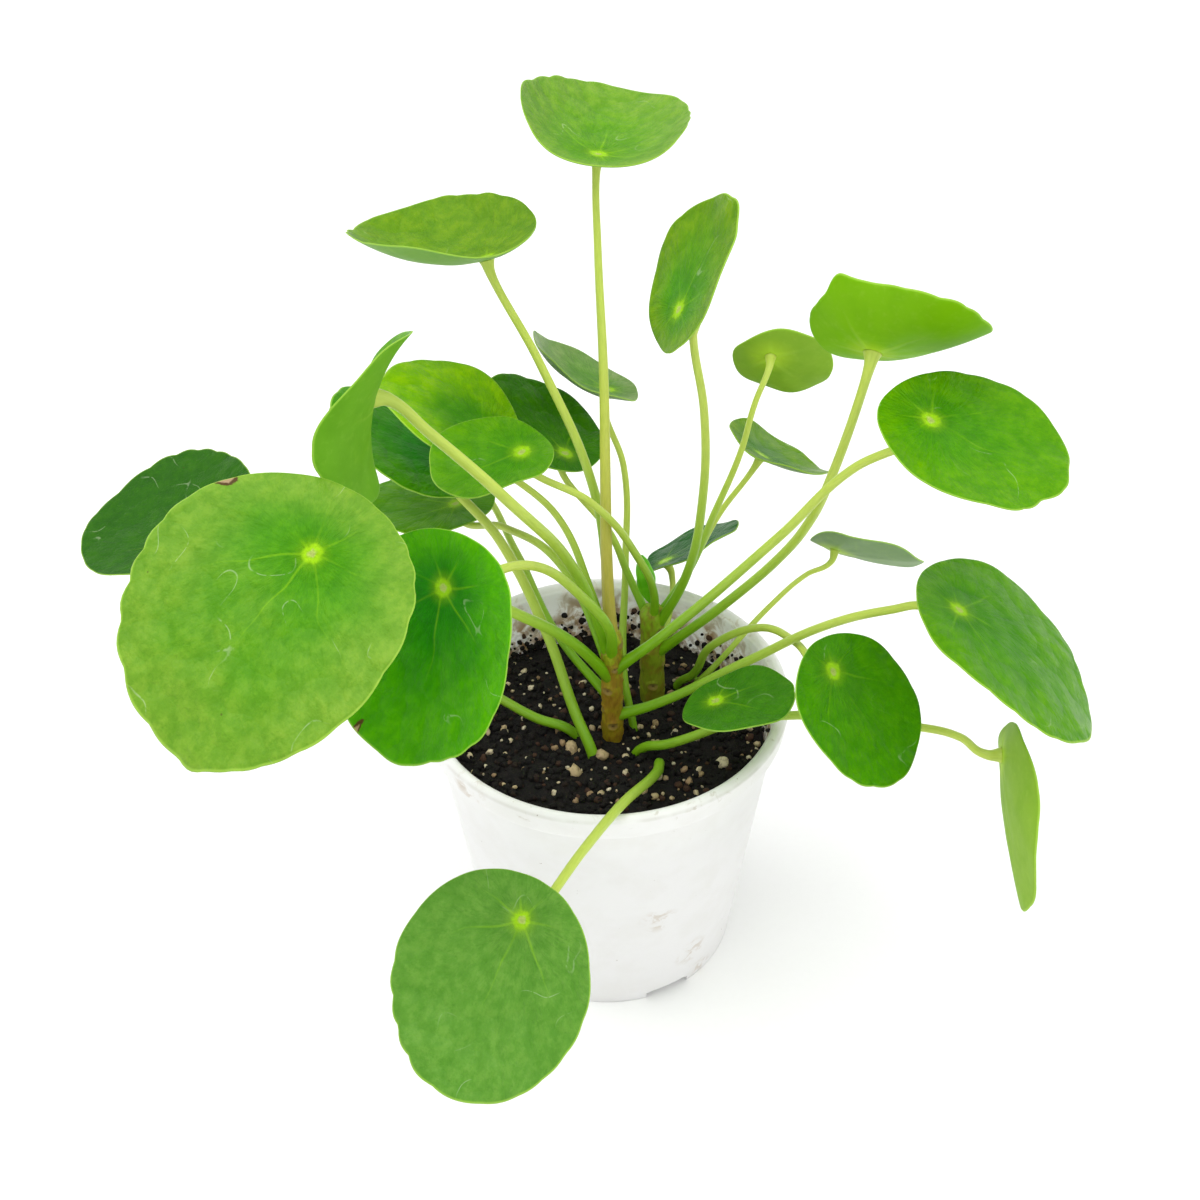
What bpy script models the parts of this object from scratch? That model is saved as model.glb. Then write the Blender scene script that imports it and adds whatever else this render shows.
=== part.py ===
"""Potted Chinese money plant: round blades on long stalks, in soil in a small white nursery pot.

Metres, +Z up. The origin is the middle of the pot's flat underside, and +X is to the right as the
plant is usually seen, with -Y towards the viewer. Places and sizes below are in millimetres.
"""

import math
import random
from collections import namedtuple

import bmesh
import bpy
from mathutils import Matrix, Vector, noise

MM = 0.001
GAP = 0.3  # air left between neighbouring pieces

# Pot: thin wall, turned out at the rim, on a raised floor ring with feet
POT_HEIGHT = 92.0
RIM_RADIUS = 52.0
RIM_BAND = 7.5  # height of the band under the rim
LIP_WIDTH = 3.6
WALL = 1.7
BAND_STEP = 3.2  # how far the wall steps in under the band
BASE_RADIUS = 38.5
FOOT_HEIGHT = 3.6
FLOOR_RADIUS = 30.0  # the flat middle of the floor, level with the feet
ROUND_STEPS = 40
NOTCH_WIDTH = 14.0
NOTCH_HEIGHT = 3.0
FIRST_NOTCH_DEG = -63.0

# Soil
SOIL_TOP = 73.0
SOIL_RIPPLE = 1.2
HOLE_DEPTH = 9.0
ROOT_LEAN = 0.5
GRAIN_SIZES = (1.4, 2.3)
GRAINS = 9
LARGE_GRAINS = {"left": (-10, -5), "middle": (-1, -9), "front": (-9, -15), "right": (33, -12)}

# The two short trunks: name, place on the soil, radius, height of the top
TRUNK_FOOT = 10.0  # how far a trunk reaches into the soil
Trunk = namedtuple("Trunk", "x y radius top colour")
TRUNKS = {
    "front": Trunk(2, 0, 3.2, 113, (0.20, 0.16, 0.03)),
    "back": Trunk(14, 17, 3.8, 108, (0.12, 0.15, 0.03)),
}

# Blades and stalks
BLADE_THICK = 0.9
BLADE_SECTORS = 18
BLADE_RINGS = 3
EDGE_WAVE = 0.5
EDGE_WAVES = 5
BASE_TAPER = 0.06  # how much a blade narrows towards its tip
NECK = 4.0  # the last stretch of a stalk, square to its blade
STALK_STEPS = 3  # rings between two points of a stalk
STALK_GREEN = (0.36, 0.52, 0.08)

# hub: where the stalk meets the blade. facing: compass angle and height of the upper face's normal.
# turn: the tip's direction, turned from straight downhill. hub_at: the hub's place along the blade.
# curl: bend along the blade and across it, in degrees. root: a trunk and a height, or a place on the soil.
Leaf = namedtuple("Leaf", "hub facing turn size hub_at curl root via thick green")
LIGHT, MIDDLE, DARK = (0.20, 0.42, 0.02), (0.09, 0.27, 0.03), (0.03, 0.12, 0.02)
LEAVES = {
    "top": Leaf((0.5, 43, 231), (37, 80), 43, (52, 50), 0.27, (30, 104),
                ("front", 107), [(1, 4, 134), (1, 12, 154), (1, 24, 179), (0, 37, 209)], (3.6, 1.7),
                MIDDLE),
    "upper_left": Leaf((-28, 28, 211), (129, 67), 12, (51, 48), 0.21, (54, 97),
                       ("front", 99), [(1, 10, 126), (-2, 16, 148), (-15.5, 21, 185)], (3.0, 2.0), MIDDLE),
    "upper_right": Leaf((19, -3, 212), (-169, 30), -170, (39, 37), 0.27, (8, 37),
                        ("back", 97), [(23.5, 10.5, 125.5), (26.5, 8, 150), (26, 4, 179), (22.5, 1, 202.5)],
                        (2.8, 1.9), LIGHT),
    "right_top": Leaf((64, -10, 204), (69, 43), -136, (45, 44), 0.32, (28, 104),
                      ("back", 89), [(35, 4.5, 119.5), (47, 0, 137), (52.5, -4.5, 150),
                                     (56.5, -11.5, 169.5)], (2.9, 2.2), LIGHT),
    "right_small": Leaf((46, 38, 176), (80, 20), -35, (29, 27), 0.29, (27, 44),
                        ("back", 101), [(24.5, 21.5, 117), (31, 24, 134), (38, 27, 152.5), (41.5, 29, 167)],
                        (2.3, 1.5), LIGHT),
    "right_back": Leaf((45, 38, 144), (31, 54), 15, (34, 32), 0.26, (21, 63),
                       ("back", 97), [(25, 27, 113), (33, 32, 128)], (2.2, 1.5), DARK),
    "right_mid": Leaf((74, -33, 199), (-44, 72), 16, (46, 43), 0.26, (8, 21),
                      ("front", 98), [(15, -5, 114), (44, -17, 156), (59, -25, 181)], (3.0, 2.0), LIGHT),
    "back_low": Leaf((19, 44, 103), (140, 57), -111, (31, 29), 0.17, (0, 19),
                     ("back", 83), [(18, 28, 88)], (2.2, 1.6), DARK),
    "right_far": Leaf((67, 30, 117), (60, 43), -83, (33, 32), 0.23, (25, 35),
                      (28, 22), [(27.5, 14.5, 81), (31.5, 12.5, 88), (49, 22.5, 103.5),
                                 (58.5, 26.5, 110.5)], (2.0, 1.4), MIDDLE),
    "right_low": Leaf((84, -44, 153), (-5, 65), -7, (57, 54), 0.20, (-33, 1),
                      ("front", 81), [(14, -2.5, 87.5), (38, -9, 108), (58, -23, 132.5), (71, -32, 144),
                                      (77.5, -36.5, 148.5)],
                      (2.9, 2.0), MIDDLE),
    "right_front": Leaf((56, -41, 132), (-41, 46), -3, (40, 38), 0.21, (7, 27),
                        (22, 21), [(26, 16.5, 82), (30.5, 9, 99), (43, 1, 112), (50.5, -13, 118.5)],
                        (2.6, 1.9), MIDDLE),
    "soil_right": Leaf((29, -27, 110), (153, 74), 170, (31, 29), 0.25, (13, 37),
                       (30, 8), [(32, -3, 91)], (2.2, 1.6), MIDDLE),
    "right_edge": Leaf((99, -51, 112), (-7, 2), -63, (47, 44), 0.17, (18, 37),
                       (10, -7), [(17.5, -12, 81), (42, -17, 95), (83, -33, 105), (90.5, -41, 109)],
                       (2.9, 2.0), LIGHT),
    "front": Leaf((-20, -98, 108), (-123, 42), -3, (53, 50), 0.19, (16, 33),
                  (15, -13), [(14, -22, 80), (3, -50, 95), (-6, -70, 101)], (3.1, 2.2), MIDDLE),
    "left_big": Leaf((-61, -70, 192), (-104, 63), -28, (67, 64), 0.25, (-32, 12),
                     ("front", 95), [(-9, -8.5, 116), (-24, -21, 137), (-43, -30, 156), (-59, -40, 170)],
                     (3.2, 2.3), LIGHT),
    "left_mid": Leaf((-36, -55, 171), (-130, 31), 11, (55, 53), 0.24, (27, 47),
                     ("front", 103), [(1, -8.5, 121), (-4.5, -12, 132.5), (-17.5, -26, 155)], (2.9, 2.1),
                     MIDDLE),
    "left_fold": Leaf((-53, -20, 200), (-170, 17), 98, (44, 42), 0.20, (66, -58),
                      ("front", 101), [(-6.5, -5, 135), (-24.5, -25, 176), (-40.5, -20.5, 190.5)],
                      (3.2, 2.6), LIGHT),
    "left_bright": Leaf((-30, 21, 163), (-15, 56), 178, (41, 39), 0.22, (-20, 25),
                        ("front", 103), [(-3.5, 5.5, 122.5), (-12, 13, 142)], (2.4, 1.7), LIGHT),
    "left_inner": Leaf((-20, 0, 171), (-137, 81), -21, (31, 30), 0.25, (0, 39),
                       ("back", 100), [(14, 12.5, 116.5), (10, 9.5, 129.5), (-3, 1.5, 154.5)], (2.4, 1.8),
                       MIDDLE),
    "left_dark": Leaf((-42, 35, 147), (-3, 62), 173, (49, 46), 0.26, (0, 2),
                      (-4, -8), [(-8.5, -2, 84), (-16.5, 11, 104), (-29, 26, 125)], (3.3, 2.6), DARK),
    "left_low": Leaf((-43, 47, 123), (143, 85), 15, (40, 37), 0.28, (0, 8),
                     ("front", 99), [(-12, 18, 122.5), (-28, 35, 123)], (2.7, 2.0), DARK),
    "left_sliver": Leaf((-69, 62, 149), (-80, 72), 30, (28, 27), 0.26, (5, 15),
                        ("front", 87), [(-13, 15, 98.5), (-25.5, 42.5, 108.5), (-40, 70, 117)], (2.5, 1.8),
                        MIDDLE),
    "left_far": Leaf((-118, 25, 127), (163, 67), -48, (55, 53), 0.20, (34, 26),
                     (-10, 1), [(-20, 3, 78), (-29, 5, 83), (-50, 9, 97)], (3.0, 2.1), DARK),
    "centre_dark": Leaf((-10, 30, 151), (-4, 70), 135, (39, 37), 0.19, (20, 16),
                        ("back", 100), [(7, 23, 115), (2.5, 25, 127)], (2.4, 1.7), DARK),
    "centre_back": Leaf((2, 50, 159), (41, 72), 147, (36, 34), 0.24, (70, 54),
                        (8, 3), [(5.5, 10.5, 88.5), (6.5, 28, 114), (6.5, 41.5, 138.5)], (2.4, 1.7), DARK),
}

# How a blade's outline departs from an ellipse: angle about its middle in degrees, extra reach, half width
LOBES = {
    "top": [(10, 0.06, 22), (32, -0.02, 12), (110, 0.06, 32), (135, -0.05, 20), (275, -0.07, 30)],
    "upper_left": [(238, 0.07, 20), (270, 0.03, 15), (302, 0.05, 18), (5, 0.04, 15)],
    "upper_right": [(340, 0.04, 12), (325, -0.04, 12), (285, 0.06, 25), (140, -0.09, 35), (80, 0.03, 25)],
    "right_top": [(268, 0.07, 9), (254, -0.05, 10), (300, -0.08, 17), (350, 0.08, 20), (238, -0.08, 14),
                  (113, -0.08, 14)],
    "right_small": [(30, -0.05, 40)],
    "right_back": [(228, -0.13, 28)],
    "right_mid": [(335, -0.06, 15), (12, -0.035, 15), (150, -0.08, 22)],
    "right_low": [(30, -0.03, 15), (205, -0.02, 10), (235, -0.04, 18)],
    "soil_right": [(285, -0.13, 35)],
    "right_edge": [(180, -0.14, 25)],
    "left_big": [(14, 0.03, 9), (35, 0.01, 20), (300, 0.015, 30)],
    "left_mid": [(62, 0.02, 14), (22, -0.035, 16), (100, -0.04, 22), (335, -0.03, 18)],
    "left_fold": [(150, -0.18, 22), (70, 0.15, 20), (338, 0.02, 18)],
    "left_inner": [(290, 0.16, 40), (100, -0.15, 35)],
    "left_far": [(75, 0.03, 30), (318, 0.06, 25)],
}

YOUNG_LEAF = (12, 17, 117.2)  # the folded young leaf on the back trunk's tip
YOUNG_SIZE = (5.4, 3.4, 17.0)


def clear_scene():
    for obj in list(bpy.data.objects):
        bpy.data.objects.remove(obj, do_unlink=True)


def collection(name, hidden=False):
    made = bpy.data.collections.new(name)
    bpy.context.scene.collection.children.link(made)
    made.hide_render = hidden
    return made


def material(name, colour, roughness):
    made = bpy.data.materials.new(name)
    made.use_nodes = True
    made.diffuse_color = (*colour, 1.0)
    shader = made.node_tree.nodes["Principled BSDF"]
    shader.inputs["Base Color"].default_value = (*colour, 1.0)
    shader.inputs["Roughness"].default_value = roughness
    shader.inputs["Metallic"].default_value = 0.0
    return made


def add_object(name, data, into, look=None):
    made = bpy.data.objects.new(name, data)
    into.objects.link(made)
    if look:
        data.materials.append(look)
    if into.hide_render:
        made.hide_render = True
        made.display_type = "WIRE"
    return made


def mesh_from(bm, name):
    mesh = bpy.data.meshes.new(name)
    bm.to_mesh(mesh)
    bm.free()
    return mesh


def baked(obj):
    """The object with its modifiers applied, or a curve turned into a mesh with its caps welded on."""
    bpy.context.view_layer.update()
    source = obj.evaluated_get(bpy.context.evaluated_depsgraph_get())
    mesh = bpy.data.meshes.new_from_object(source)
    mesh.name = obj.name
    bm = bmesh.new()
    bm.from_mesh(mesh)
    bmesh.ops.remove_doubles(bm, verts=bm.verts, dist=1e-6)
    bm.to_mesh(mesh)
    bm.free()
    name, place, homes = obj.name, obj.matrix_world.copy(), list(obj.users_collection)
    bpy.data.objects.remove(obj, do_unlink=True)
    made = add_object(name, mesh, homes[0])
    made.matrix_world = place
    return made


def turned(name, profile, into, look=None, steps=ROUND_STEPS):
    """A profile of (radius, height) in millimetres, turned about the vertical axis."""
    mesh = bpy.data.meshes.new(name)
    points = [(r * MM, 0, z * MM) for r, z in profile]
    mesh.from_pydata(points, [(i, i + 1) for i in range(len(points) - 1)], [])
    made = add_object(name, mesh, into, look)
    screw = made.modifiers.new("Turn", "SCREW")
    screw.steps = screw.render_steps = steps
    screw.use_merge_vertices = True
    screw.merge_threshold = 0.00001
    return made


def cut(obj, cutter, operation="DIFFERENCE"):
    boolean = obj.modifiers.new(operation.title(), "BOOLEAN")
    boolean.operation = operation
    boolean.solver = "EXACT"
    boolean.object = cutter


def shade_round(obj, angle=40):
    obj.data.shade_smooth()
    obj.data.set_sharp_from_angle(angle=math.radians(angle))


def inner_radius(z):
    """Radius of the pot's inner wall at height z."""
    low, high = BASE_RADIUS - WALL, RIM_RADIUS - LIP_WIDTH
    return low + (high - low) * (z - FOOT_HEIGHT) / (POT_HEIGHT - FOOT_HEIGHT)


def make_pot(parts, cutters):
    ledge = FOOT_HEIGHT + WALL
    band_end = POT_HEIGHT - RIM_BAND
    profile = [
        (0, WALL), (FLOOR_RADIUS - WALL, WALL), (FLOOR_RADIUS - WALL, ledge), (inner_radius(ledge), ledge),
        (inner_radius(POT_HEIGHT - 2), POT_HEIGHT - 2), (RIM_RADIUS - LIP_WIDTH + 0.8, POT_HEIGHT - 0.4),
        (RIM_RADIUS - LIP_WIDTH / 2, POT_HEIGHT), (RIM_RADIUS - 0.7, POT_HEIGHT - 0.5),
        (RIM_RADIUS, POT_HEIGHT - 1.6), (RIM_RADIUS - 0.7, band_end), (RIM_RADIUS - BAND_STEP, band_end - 1),
        (BASE_RADIUS, FOOT_HEIGHT), (BASE_RADIUS - 0.4, 0), (BASE_RADIUS - WALL, 0),
        (BASE_RADIUS - WALL, FOOT_HEIGHT), (FLOOR_RADIUS, FOOT_HEIGHT), (FLOOR_RADIUS, 0), (0, 0),
    ]
    pot = turned("pot", profile, parts, material("White moulded plastic", (0.86, 0.85, 0.81), 0.42))
    for index in range(4):
        bm = bmesh.new()
        bmesh.ops.create_cube(bm, size=1.0)
        size = Vector((12, NOTCH_WIDTH, 2 * NOTCH_HEIGHT)) * MM
        turn = Matrix.Rotation(math.radians(FIRST_NOTCH_DEG + 90 * index), 4, "Z")
        centre = Matrix.Translation(Vector((BASE_RADIUS, 0, 0)) * MM)
        bmesh.ops.transform(bm, matrix=turn @ centre @ Matrix.Diagonal((*size, 1.0)), verts=bm.verts)
        cut(pot, add_object(f"foot_notch_{index + 1}", mesh_from(bm, "foot_notch"), cutters))
    pot = baked(pot)
    shade_round(pot)


def soil_height(x, y):
    bumps = noise.noise(Vector((x * 0.09, y * 0.09, 4.0)))
    bumps += 0.5 * noise.noise(Vector((x * 0.25, y * 0.25, 9.0)))
    return SOIL_TOP + SOIL_RIPPLE * bumps


def make_soil(parts, cutters):
    ledge = FOOT_HEIGHT + WALL
    low, side = WALL + GAP, inner_radius(SOIL_TOP) - GAP
    ledge_gap = ledge + GAP
    rings = [(side * share, SOIL_TOP) for share in (0, 0.18, 0.36, 0.54, 0.7, 0.86, 1)]
    profile = rings + [(inner_radius(ledge_gap) - GAP, ledge_gap), (FLOOR_RADIUS - WALL - GAP, ledge_gap),
                       (FLOOR_RADIUS - WALL - GAP, low), (0, low)]
    soil = baked(turned("soil", profile, parts, material("Dark potting mix", (0.018, 0.013, 0.010), 0.95)))
    for vertex in soil.data.vertices:
        if vertex.co.z > (SOIL_TOP - 1) * MM:
            vertex.co.z = soil_height(vertex.co.x / MM, vertex.co.y / MM) * MM
    grains = collection("grains", hidden=True)
    dice = random.Random(7)
    spots = list(LARGE_GRAINS.values())
    roots = [(trunk.x, trunk.y) for trunk in TRUNKS.values()]
    roots += [leaf.root for leaf in LEAVES.values() if leaf.root[0] not in TRUNKS]
    while len(spots) < len(LARGE_GRAINS) + GRAINS:
        angle, reach = dice.uniform(0, 2 * math.pi), dice.uniform(12, 40)
        spot = (reach * math.cos(angle), reach * math.sin(angle))
        if all(math.dist(spot, other) > 7 for other in [*spots, *roots]):
            spots.append(spot)
    for index, (x, y) in enumerate(spots):
        bm = bmesh.new()
        bmesh.ops.create_icosphere(bm, subdivisions=1, radius=MM)
        size = GRAIN_SIZES[1] if index < len(LARGE_GRAINS) else dice.uniform(*GRAIN_SIZES)
        stretch = Matrix.Diagonal((size * dice.uniform(0.9, 1.3), size, size * 0.8, 1.0))
        place = Matrix.Translation(Vector((x, y, soil_height(x, y) + 0.2)) * MM)
        turn = Matrix.Rotation(dice.uniform(0, 3), 4, "Z")
        bmesh.ops.transform(bm, matrix=place @ turn @ stretch, verts=bm.verts)
        add_object(f"grain_{index + 1}", mesh_from(bm, "grain"), grains)
    union = soil.modifiers.new("Grains", "BOOLEAN")
    union.operation = "UNION"
    union.solver = "EXACT"
    union.operand_type = "COLLECTION"
    union.collection = grains
    soil = baked(soil)
    for grain in list(grains.objects):
        bpy.data.objects.remove(grain, do_unlink=True)
    bpy.data.collections.remove(grains)
    for trunk in TRUNKS.values():
        bm = bmesh.new()
        bmesh.ops.create_cone(bm, cap_ends=True, segments=12, radius1=(trunk.radius + 0.5) * MM,
                              radius2=(trunk.radius + 0.5) * MM, depth=2 * (TRUNK_FOOT + GAP) * MM)
        bmesh.ops.translate(bm, verts=bm.verts, vec=Vector((trunk.x, trunk.y, SOIL_TOP)) * MM)
        cut(soil, add_object("trunk_hole", mesh_from(bm, "trunk_hole"), cutters))
    for name, leaf in LEAVES.items():
        if leaf.root[0] not in TRUNKS:
            cut(soil, stalk_tube(f"hole_{name}", leaf, GAP + 0.1, cutters))
    baked(soil)


def trunk_profile(trunk, grow):
    """A short trunk with a few swollen leaf scars, grown by a clearance for its cutter."""
    r, low = trunk.radius, SOIL_TOP - TRUNK_FOOT
    heights = [(low, 0.9), (SOIL_TOP + 3, 1.0), (SOIL_TOP + 10, 0.9), (SOIL_TOP + 16, 1.0),
               (SOIL_TOP + 24, 0.92), (trunk.top - 5, 1.0), (trunk.top - 1, 0.9)]
    side = [(r * wide + grow, z) for z, wide in heights]
    return [(0, trunk.top + grow), (r * 0.5 + grow, trunk.top + grow)] + side[::-1] + [(0, low)]


def make_trunks(parts, cutters):
    made = {}
    for name, trunk in TRUNKS.items():
        stem = turned(f"trunk_{name}", trunk_profile(trunk, 0), parts,
                      material(f"Woody stem, {name}", trunk.colour, 0.6), steps=12)
        made[name] = turned(f"trunk_{name}_clearance", trunk_profile(trunk, GAP), cutters, steps=12)
        for obj in (stem, made[name]):
            obj.location = Vector((trunk.x, trunk.y, 0)) * MM
        shade_round(baked(stem))
        made[name] = baked(made[name])
    return made


def blade_axes(leaf):
    """The blade's own axes: towards its tip, across it, and out of its upper face."""
    around, up, turn = math.radians(leaf.facing[0]), math.radians(leaf.facing[1]), math.radians(leaf.turn)
    face = Vector((math.cos(around) * math.cos(up), math.sin(around) * math.cos(up), math.sin(up)))
    downhill = Vector((math.cos(around) * math.sin(up), math.sin(around) * math.sin(up), -math.cos(up)))
    tip = math.cos(turn) * downhill + math.sin(turn) * face.cross(downhill)
    return tip, face.cross(tip), face


def arc(distance, curve):
    """How far along and how high a point is that lies this far along a circular arc."""
    if abs(curve) < 1e-6:
        return distance, 0.0
    return math.sin(curve * distance) / curve, (1 - math.cos(curve * distance)) / curve


def outline(name, angle):
    """How far out the edge of a blade lies at an angle, against its ellipse."""
    reach = 1.0
    for middle, extra, width in LOBES.get(name, []):
        away = (math.degrees(angle) - middle + 180) % 360 - 180
        reach += extra * math.exp(-(away / width) ** 2)
    return reach


def blade_point(name, leaf, reach, angle, phase):
    """A point of the blade's middle surface: reach is 0 at the hub and 1 at the edge."""
    length, width = leaf.size
    stretch = reach * outline(name, angle)
    along = length / 2 - leaf.hub_at * length + length / 2 * math.cos(angle)
    across = width / 2 * math.sin(angle) * (1 - BASE_TAPER * math.cos(angle))
    x, rise = arc(stretch * along, math.radians(leaf.curl[0]) / length)
    y, curl = arc(stretch * across, math.radians(leaf.curl[1]) / width)
    wave = EDGE_WAVE * reach ** 3 * math.sin(EDGE_WAVES * angle + phase)
    tip, side, face = blade_axes(leaf)
    return Vector(leaf.hub) + x * tip + y * side + (rise + curl + wave) * face


def make_blade(name, leaf, parts):
    """A round blade: a disc of rings and sectors about the hub, bent to shape and given its thickness."""
    bm = bmesh.new()
    spoke = [bm.verts.new((step / BLADE_RINGS, 0, 0)) for step in range(BLADE_RINGS + 1)]
    edges = [bm.edges.new(pair) for pair in zip(spoke, spoke[1:])]
    bmesh.ops.spin(bm, geom=spoke + edges, axis=(0, 0, 1), cent=(0, 0, 0), angle=2 * math.pi,
                   steps=BLADE_SECTORS, use_merge=True)
    bmesh.ops.remove_doubles(bm, verts=bm.verts, dist=1e-4)
    bmesh.ops.triangulate(bm, faces=bm.faces, quad_method="FIXED")
    phase = sum(leaf.hub)
    for vertex in bm.verts:
        reach, angle = vertex.co.xy.length, math.atan2(vertex.co.y, vertex.co.x)
        vertex.co = blade_point(name, leaf, reach, angle, phase) * MM
    bmesh.ops.recalc_face_normals(bm, faces=bm.faces)
    face = blade_axes(leaf)[2]
    if sum((f.normal.dot(face) * f.calc_area() for f in bm.faces)) < 0:
        bmesh.ops.reverse_faces(bm, faces=bm.faces)
    blade = add_object(f"blade_{name}", mesh_from(bm, f"blade_{name}"), parts,
                       material(f"Leaf green, {name}", leaf.green, 0.35))
    skin = blade.modifiers.new("Thickness", "SOLIDIFY")
    skin.thickness = BLADE_THICK * MM
    skin.offset = 0
    shade_round(blade)


def stalk_points(leaf):
    """A stalk's way from its root to just under its blade."""
    face = blade_axes(leaf)[2]
    hub = Vector(leaf.hub)
    tip = hub - face * (BLADE_THICK / 2 + GAP)
    if leaf.root[0] in TRUNKS:
        trunk = TRUNKS[leaf.root[0]]
        start = [Vector((trunk.x, trunk.y, leaf.root[1]))]
    else:
        x, y = leaf.root
        ahead = Vector(leaf.via[0])
        buried = (x - ROOT_LEAN * (ahead.x - x), y - ROOT_LEAN * (ahead.y - y), SOIL_TOP - HOLE_DEPTH)
        start = [Vector(buried), Vector((x, y, SOIL_TOP + 1.5))]
    return start + [Vector(point) for point in leaf.via] + [hub - face * NECK, tip]


def stalk_tube(name, leaf, grow, into, look=None):
    """A smooth tapered tube along the stalk's way, grown by a clearance for its hole in the soil."""
    points = stalk_points(leaf)
    points[0].z -= grow
    lengths = [0.0]
    for here, there in zip(points, points[1:]):
        lengths.append(lengths[-1] + (there - here).length)
    curve = bpy.data.curves.new(name, "CURVE")
    curve.dimensions = "3D"
    curve.bevel_depth = MM
    curve.bevel_resolution = 1
    curve.resolution_u = STALK_STEPS
    curve.use_fill_caps = True
    spline = curve.splines.new("BEZIER")
    spline.bezier_points.add(len(points) - 1)
    for knot, point, length in zip(spline.bezier_points, points, lengths):
        share = length / lengths[-1]
        knot.co = point * MM
        knot.radius = (leaf.thick[0] * (1 - share) + leaf.thick[1] * share) / 2 + grow
        knot.handle_left_type = knot.handle_right_type = "AUTO"
    return baked(add_object(name, curve, into, look))


def make_stalk(name, leaf, parts, clearances):
    look = material(f"Stalk green, {name}", STALK_GREEN, 0.45)
    stalk = stalk_tube(f"stalk_{name}", leaf, 0, parts, look)
    if leaf.root[0] in clearances:
        cut(stalk, clearances[leaf.root[0]])
        stalk = baked(stalk)
    shade_round(stalk, 60)


def make_young_leaf(parts):
    bm = bmesh.new()
    bmesh.ops.create_uvsphere(bm, u_segments=10, v_segments=7, radius=0.5)
    lean = Matrix.Rotation(math.radians(-8), 4, "Y")
    place = Matrix.Translation(Vector(YOUNG_LEAF) * MM)
    size = Matrix.Diagonal((*[side * MM for side in YOUNG_SIZE], 1.0))
    bmesh.ops.transform(bm, matrix=place @ lean @ size, verts=bm.verts)
    young = add_object("young_leaf", mesh_from(bm, "young_leaf"), parts,
                       material("Young leaf", (0.06, 0.16, 0.03), 0.4))
    shade_round(young, 80)


def main():
    clear_scene()
    parts = collection("potted_money_plant")
    cutters = collection("cutters", hidden=True)
    make_pot(parts, cutters)
    make_soil(parts, cutters)
    clearances = make_trunks(parts, cutters)
    for name, leaf in LEAVES.items():
        make_blade(name, leaf, parts)
        make_stalk(name, leaf, parts, clearances)
    make_young_leaf(parts)


main()
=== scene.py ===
import math
import random
from collections import namedtuple

import bmesh
import bpy
from bpy.props import FloatProperty, IntProperty, StringProperty
from mathutils import Matrix, Vector, noise


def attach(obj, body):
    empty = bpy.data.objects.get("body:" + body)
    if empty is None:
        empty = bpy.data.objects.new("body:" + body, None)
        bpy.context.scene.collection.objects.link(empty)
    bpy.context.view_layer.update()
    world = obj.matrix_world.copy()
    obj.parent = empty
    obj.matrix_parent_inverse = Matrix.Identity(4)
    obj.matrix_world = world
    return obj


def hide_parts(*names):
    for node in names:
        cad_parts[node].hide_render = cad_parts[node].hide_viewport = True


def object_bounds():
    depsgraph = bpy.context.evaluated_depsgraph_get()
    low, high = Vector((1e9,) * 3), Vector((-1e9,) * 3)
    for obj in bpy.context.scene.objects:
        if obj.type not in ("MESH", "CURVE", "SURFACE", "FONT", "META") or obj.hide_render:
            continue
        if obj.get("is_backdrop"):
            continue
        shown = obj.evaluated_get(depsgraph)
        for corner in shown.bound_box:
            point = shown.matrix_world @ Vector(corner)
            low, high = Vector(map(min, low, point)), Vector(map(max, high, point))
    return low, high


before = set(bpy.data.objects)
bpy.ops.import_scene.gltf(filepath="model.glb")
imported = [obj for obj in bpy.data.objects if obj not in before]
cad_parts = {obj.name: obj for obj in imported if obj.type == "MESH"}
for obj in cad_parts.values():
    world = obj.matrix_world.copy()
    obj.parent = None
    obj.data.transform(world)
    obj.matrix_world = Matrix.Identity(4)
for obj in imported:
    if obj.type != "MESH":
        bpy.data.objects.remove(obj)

bl_info = {
    "name": "Potted money plant",
    "version": (1, 0, 0),
    "blender": (4, 5, 0),
    "location": "View3D > Sidebar > Money plant",
    "description": "Dresses a potted money plant: leaves, stalks, trunks, soil and nursery pot",
    "category": "Object",
}

MM = 0.001
CAD_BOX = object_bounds()
BODY = "root"

# The plant's places and sizes, in millimetres, as the solids have them
POT_HEIGHT, RIM_RADIUS, RIM_BAND, LIP_WIDTH, WALL = 92.0, 52.0, 7.5, 3.6, 1.7
BAND_STEP, BASE_RADIUS, FOOT_HEIGHT, FLOOR_RADIUS = 3.2, 38.5, 3.6, 30.0
NOTCH_WIDTH, NOTCH_HEIGHT, FIRST_NOTCH_DEG = 14.0, 3.0, -63.0
SOIL_TOP, SOIL_RIPPLE, HOLE_DEPTH, ROOT_LEAN, TRUNK_FOOT = 73.0, 1.2, 9.0, 0.5, 10.0
BLADE_THICK, EDGE_WAVE, EDGE_WAVES, BASE_TAPER = 0.9, 0.5, 5, 0.06
# Only in this scene: the small bulges of a blade's edge, how a stalk widens at its two ends and how soon
# that fades, and the scars up a trunk
SCALLOP, SCALLOP_SPACING = 0.026, 9.0
FOOT_FLARE, FOOT_FADE, NECK_FLARE, NECK_FADE = 0.5, 5.0, 1.1, 2.4
SCAR_STEP, SCAR_TURN_DEG, FIRST_SCAR = 2.6, 137.5, 12.0
SOIL_DEPTH, SOIL_GAP = 12.0, 0.4
# A blade's last ring before its edge, and how much of its half thickness is left there
RIM_REACH, RIM_LIFT = 0.994, 0.45
# One unit of a UV map stands for this many millimetres
UV_MM = 10.0
# How light spreads in leaf flesh
LEAF_FLESH = {"Subsurface_Scale": 1.0 * MM, "Subsurface_Radius": (0.6, 1.0, 0.25)}

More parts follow.
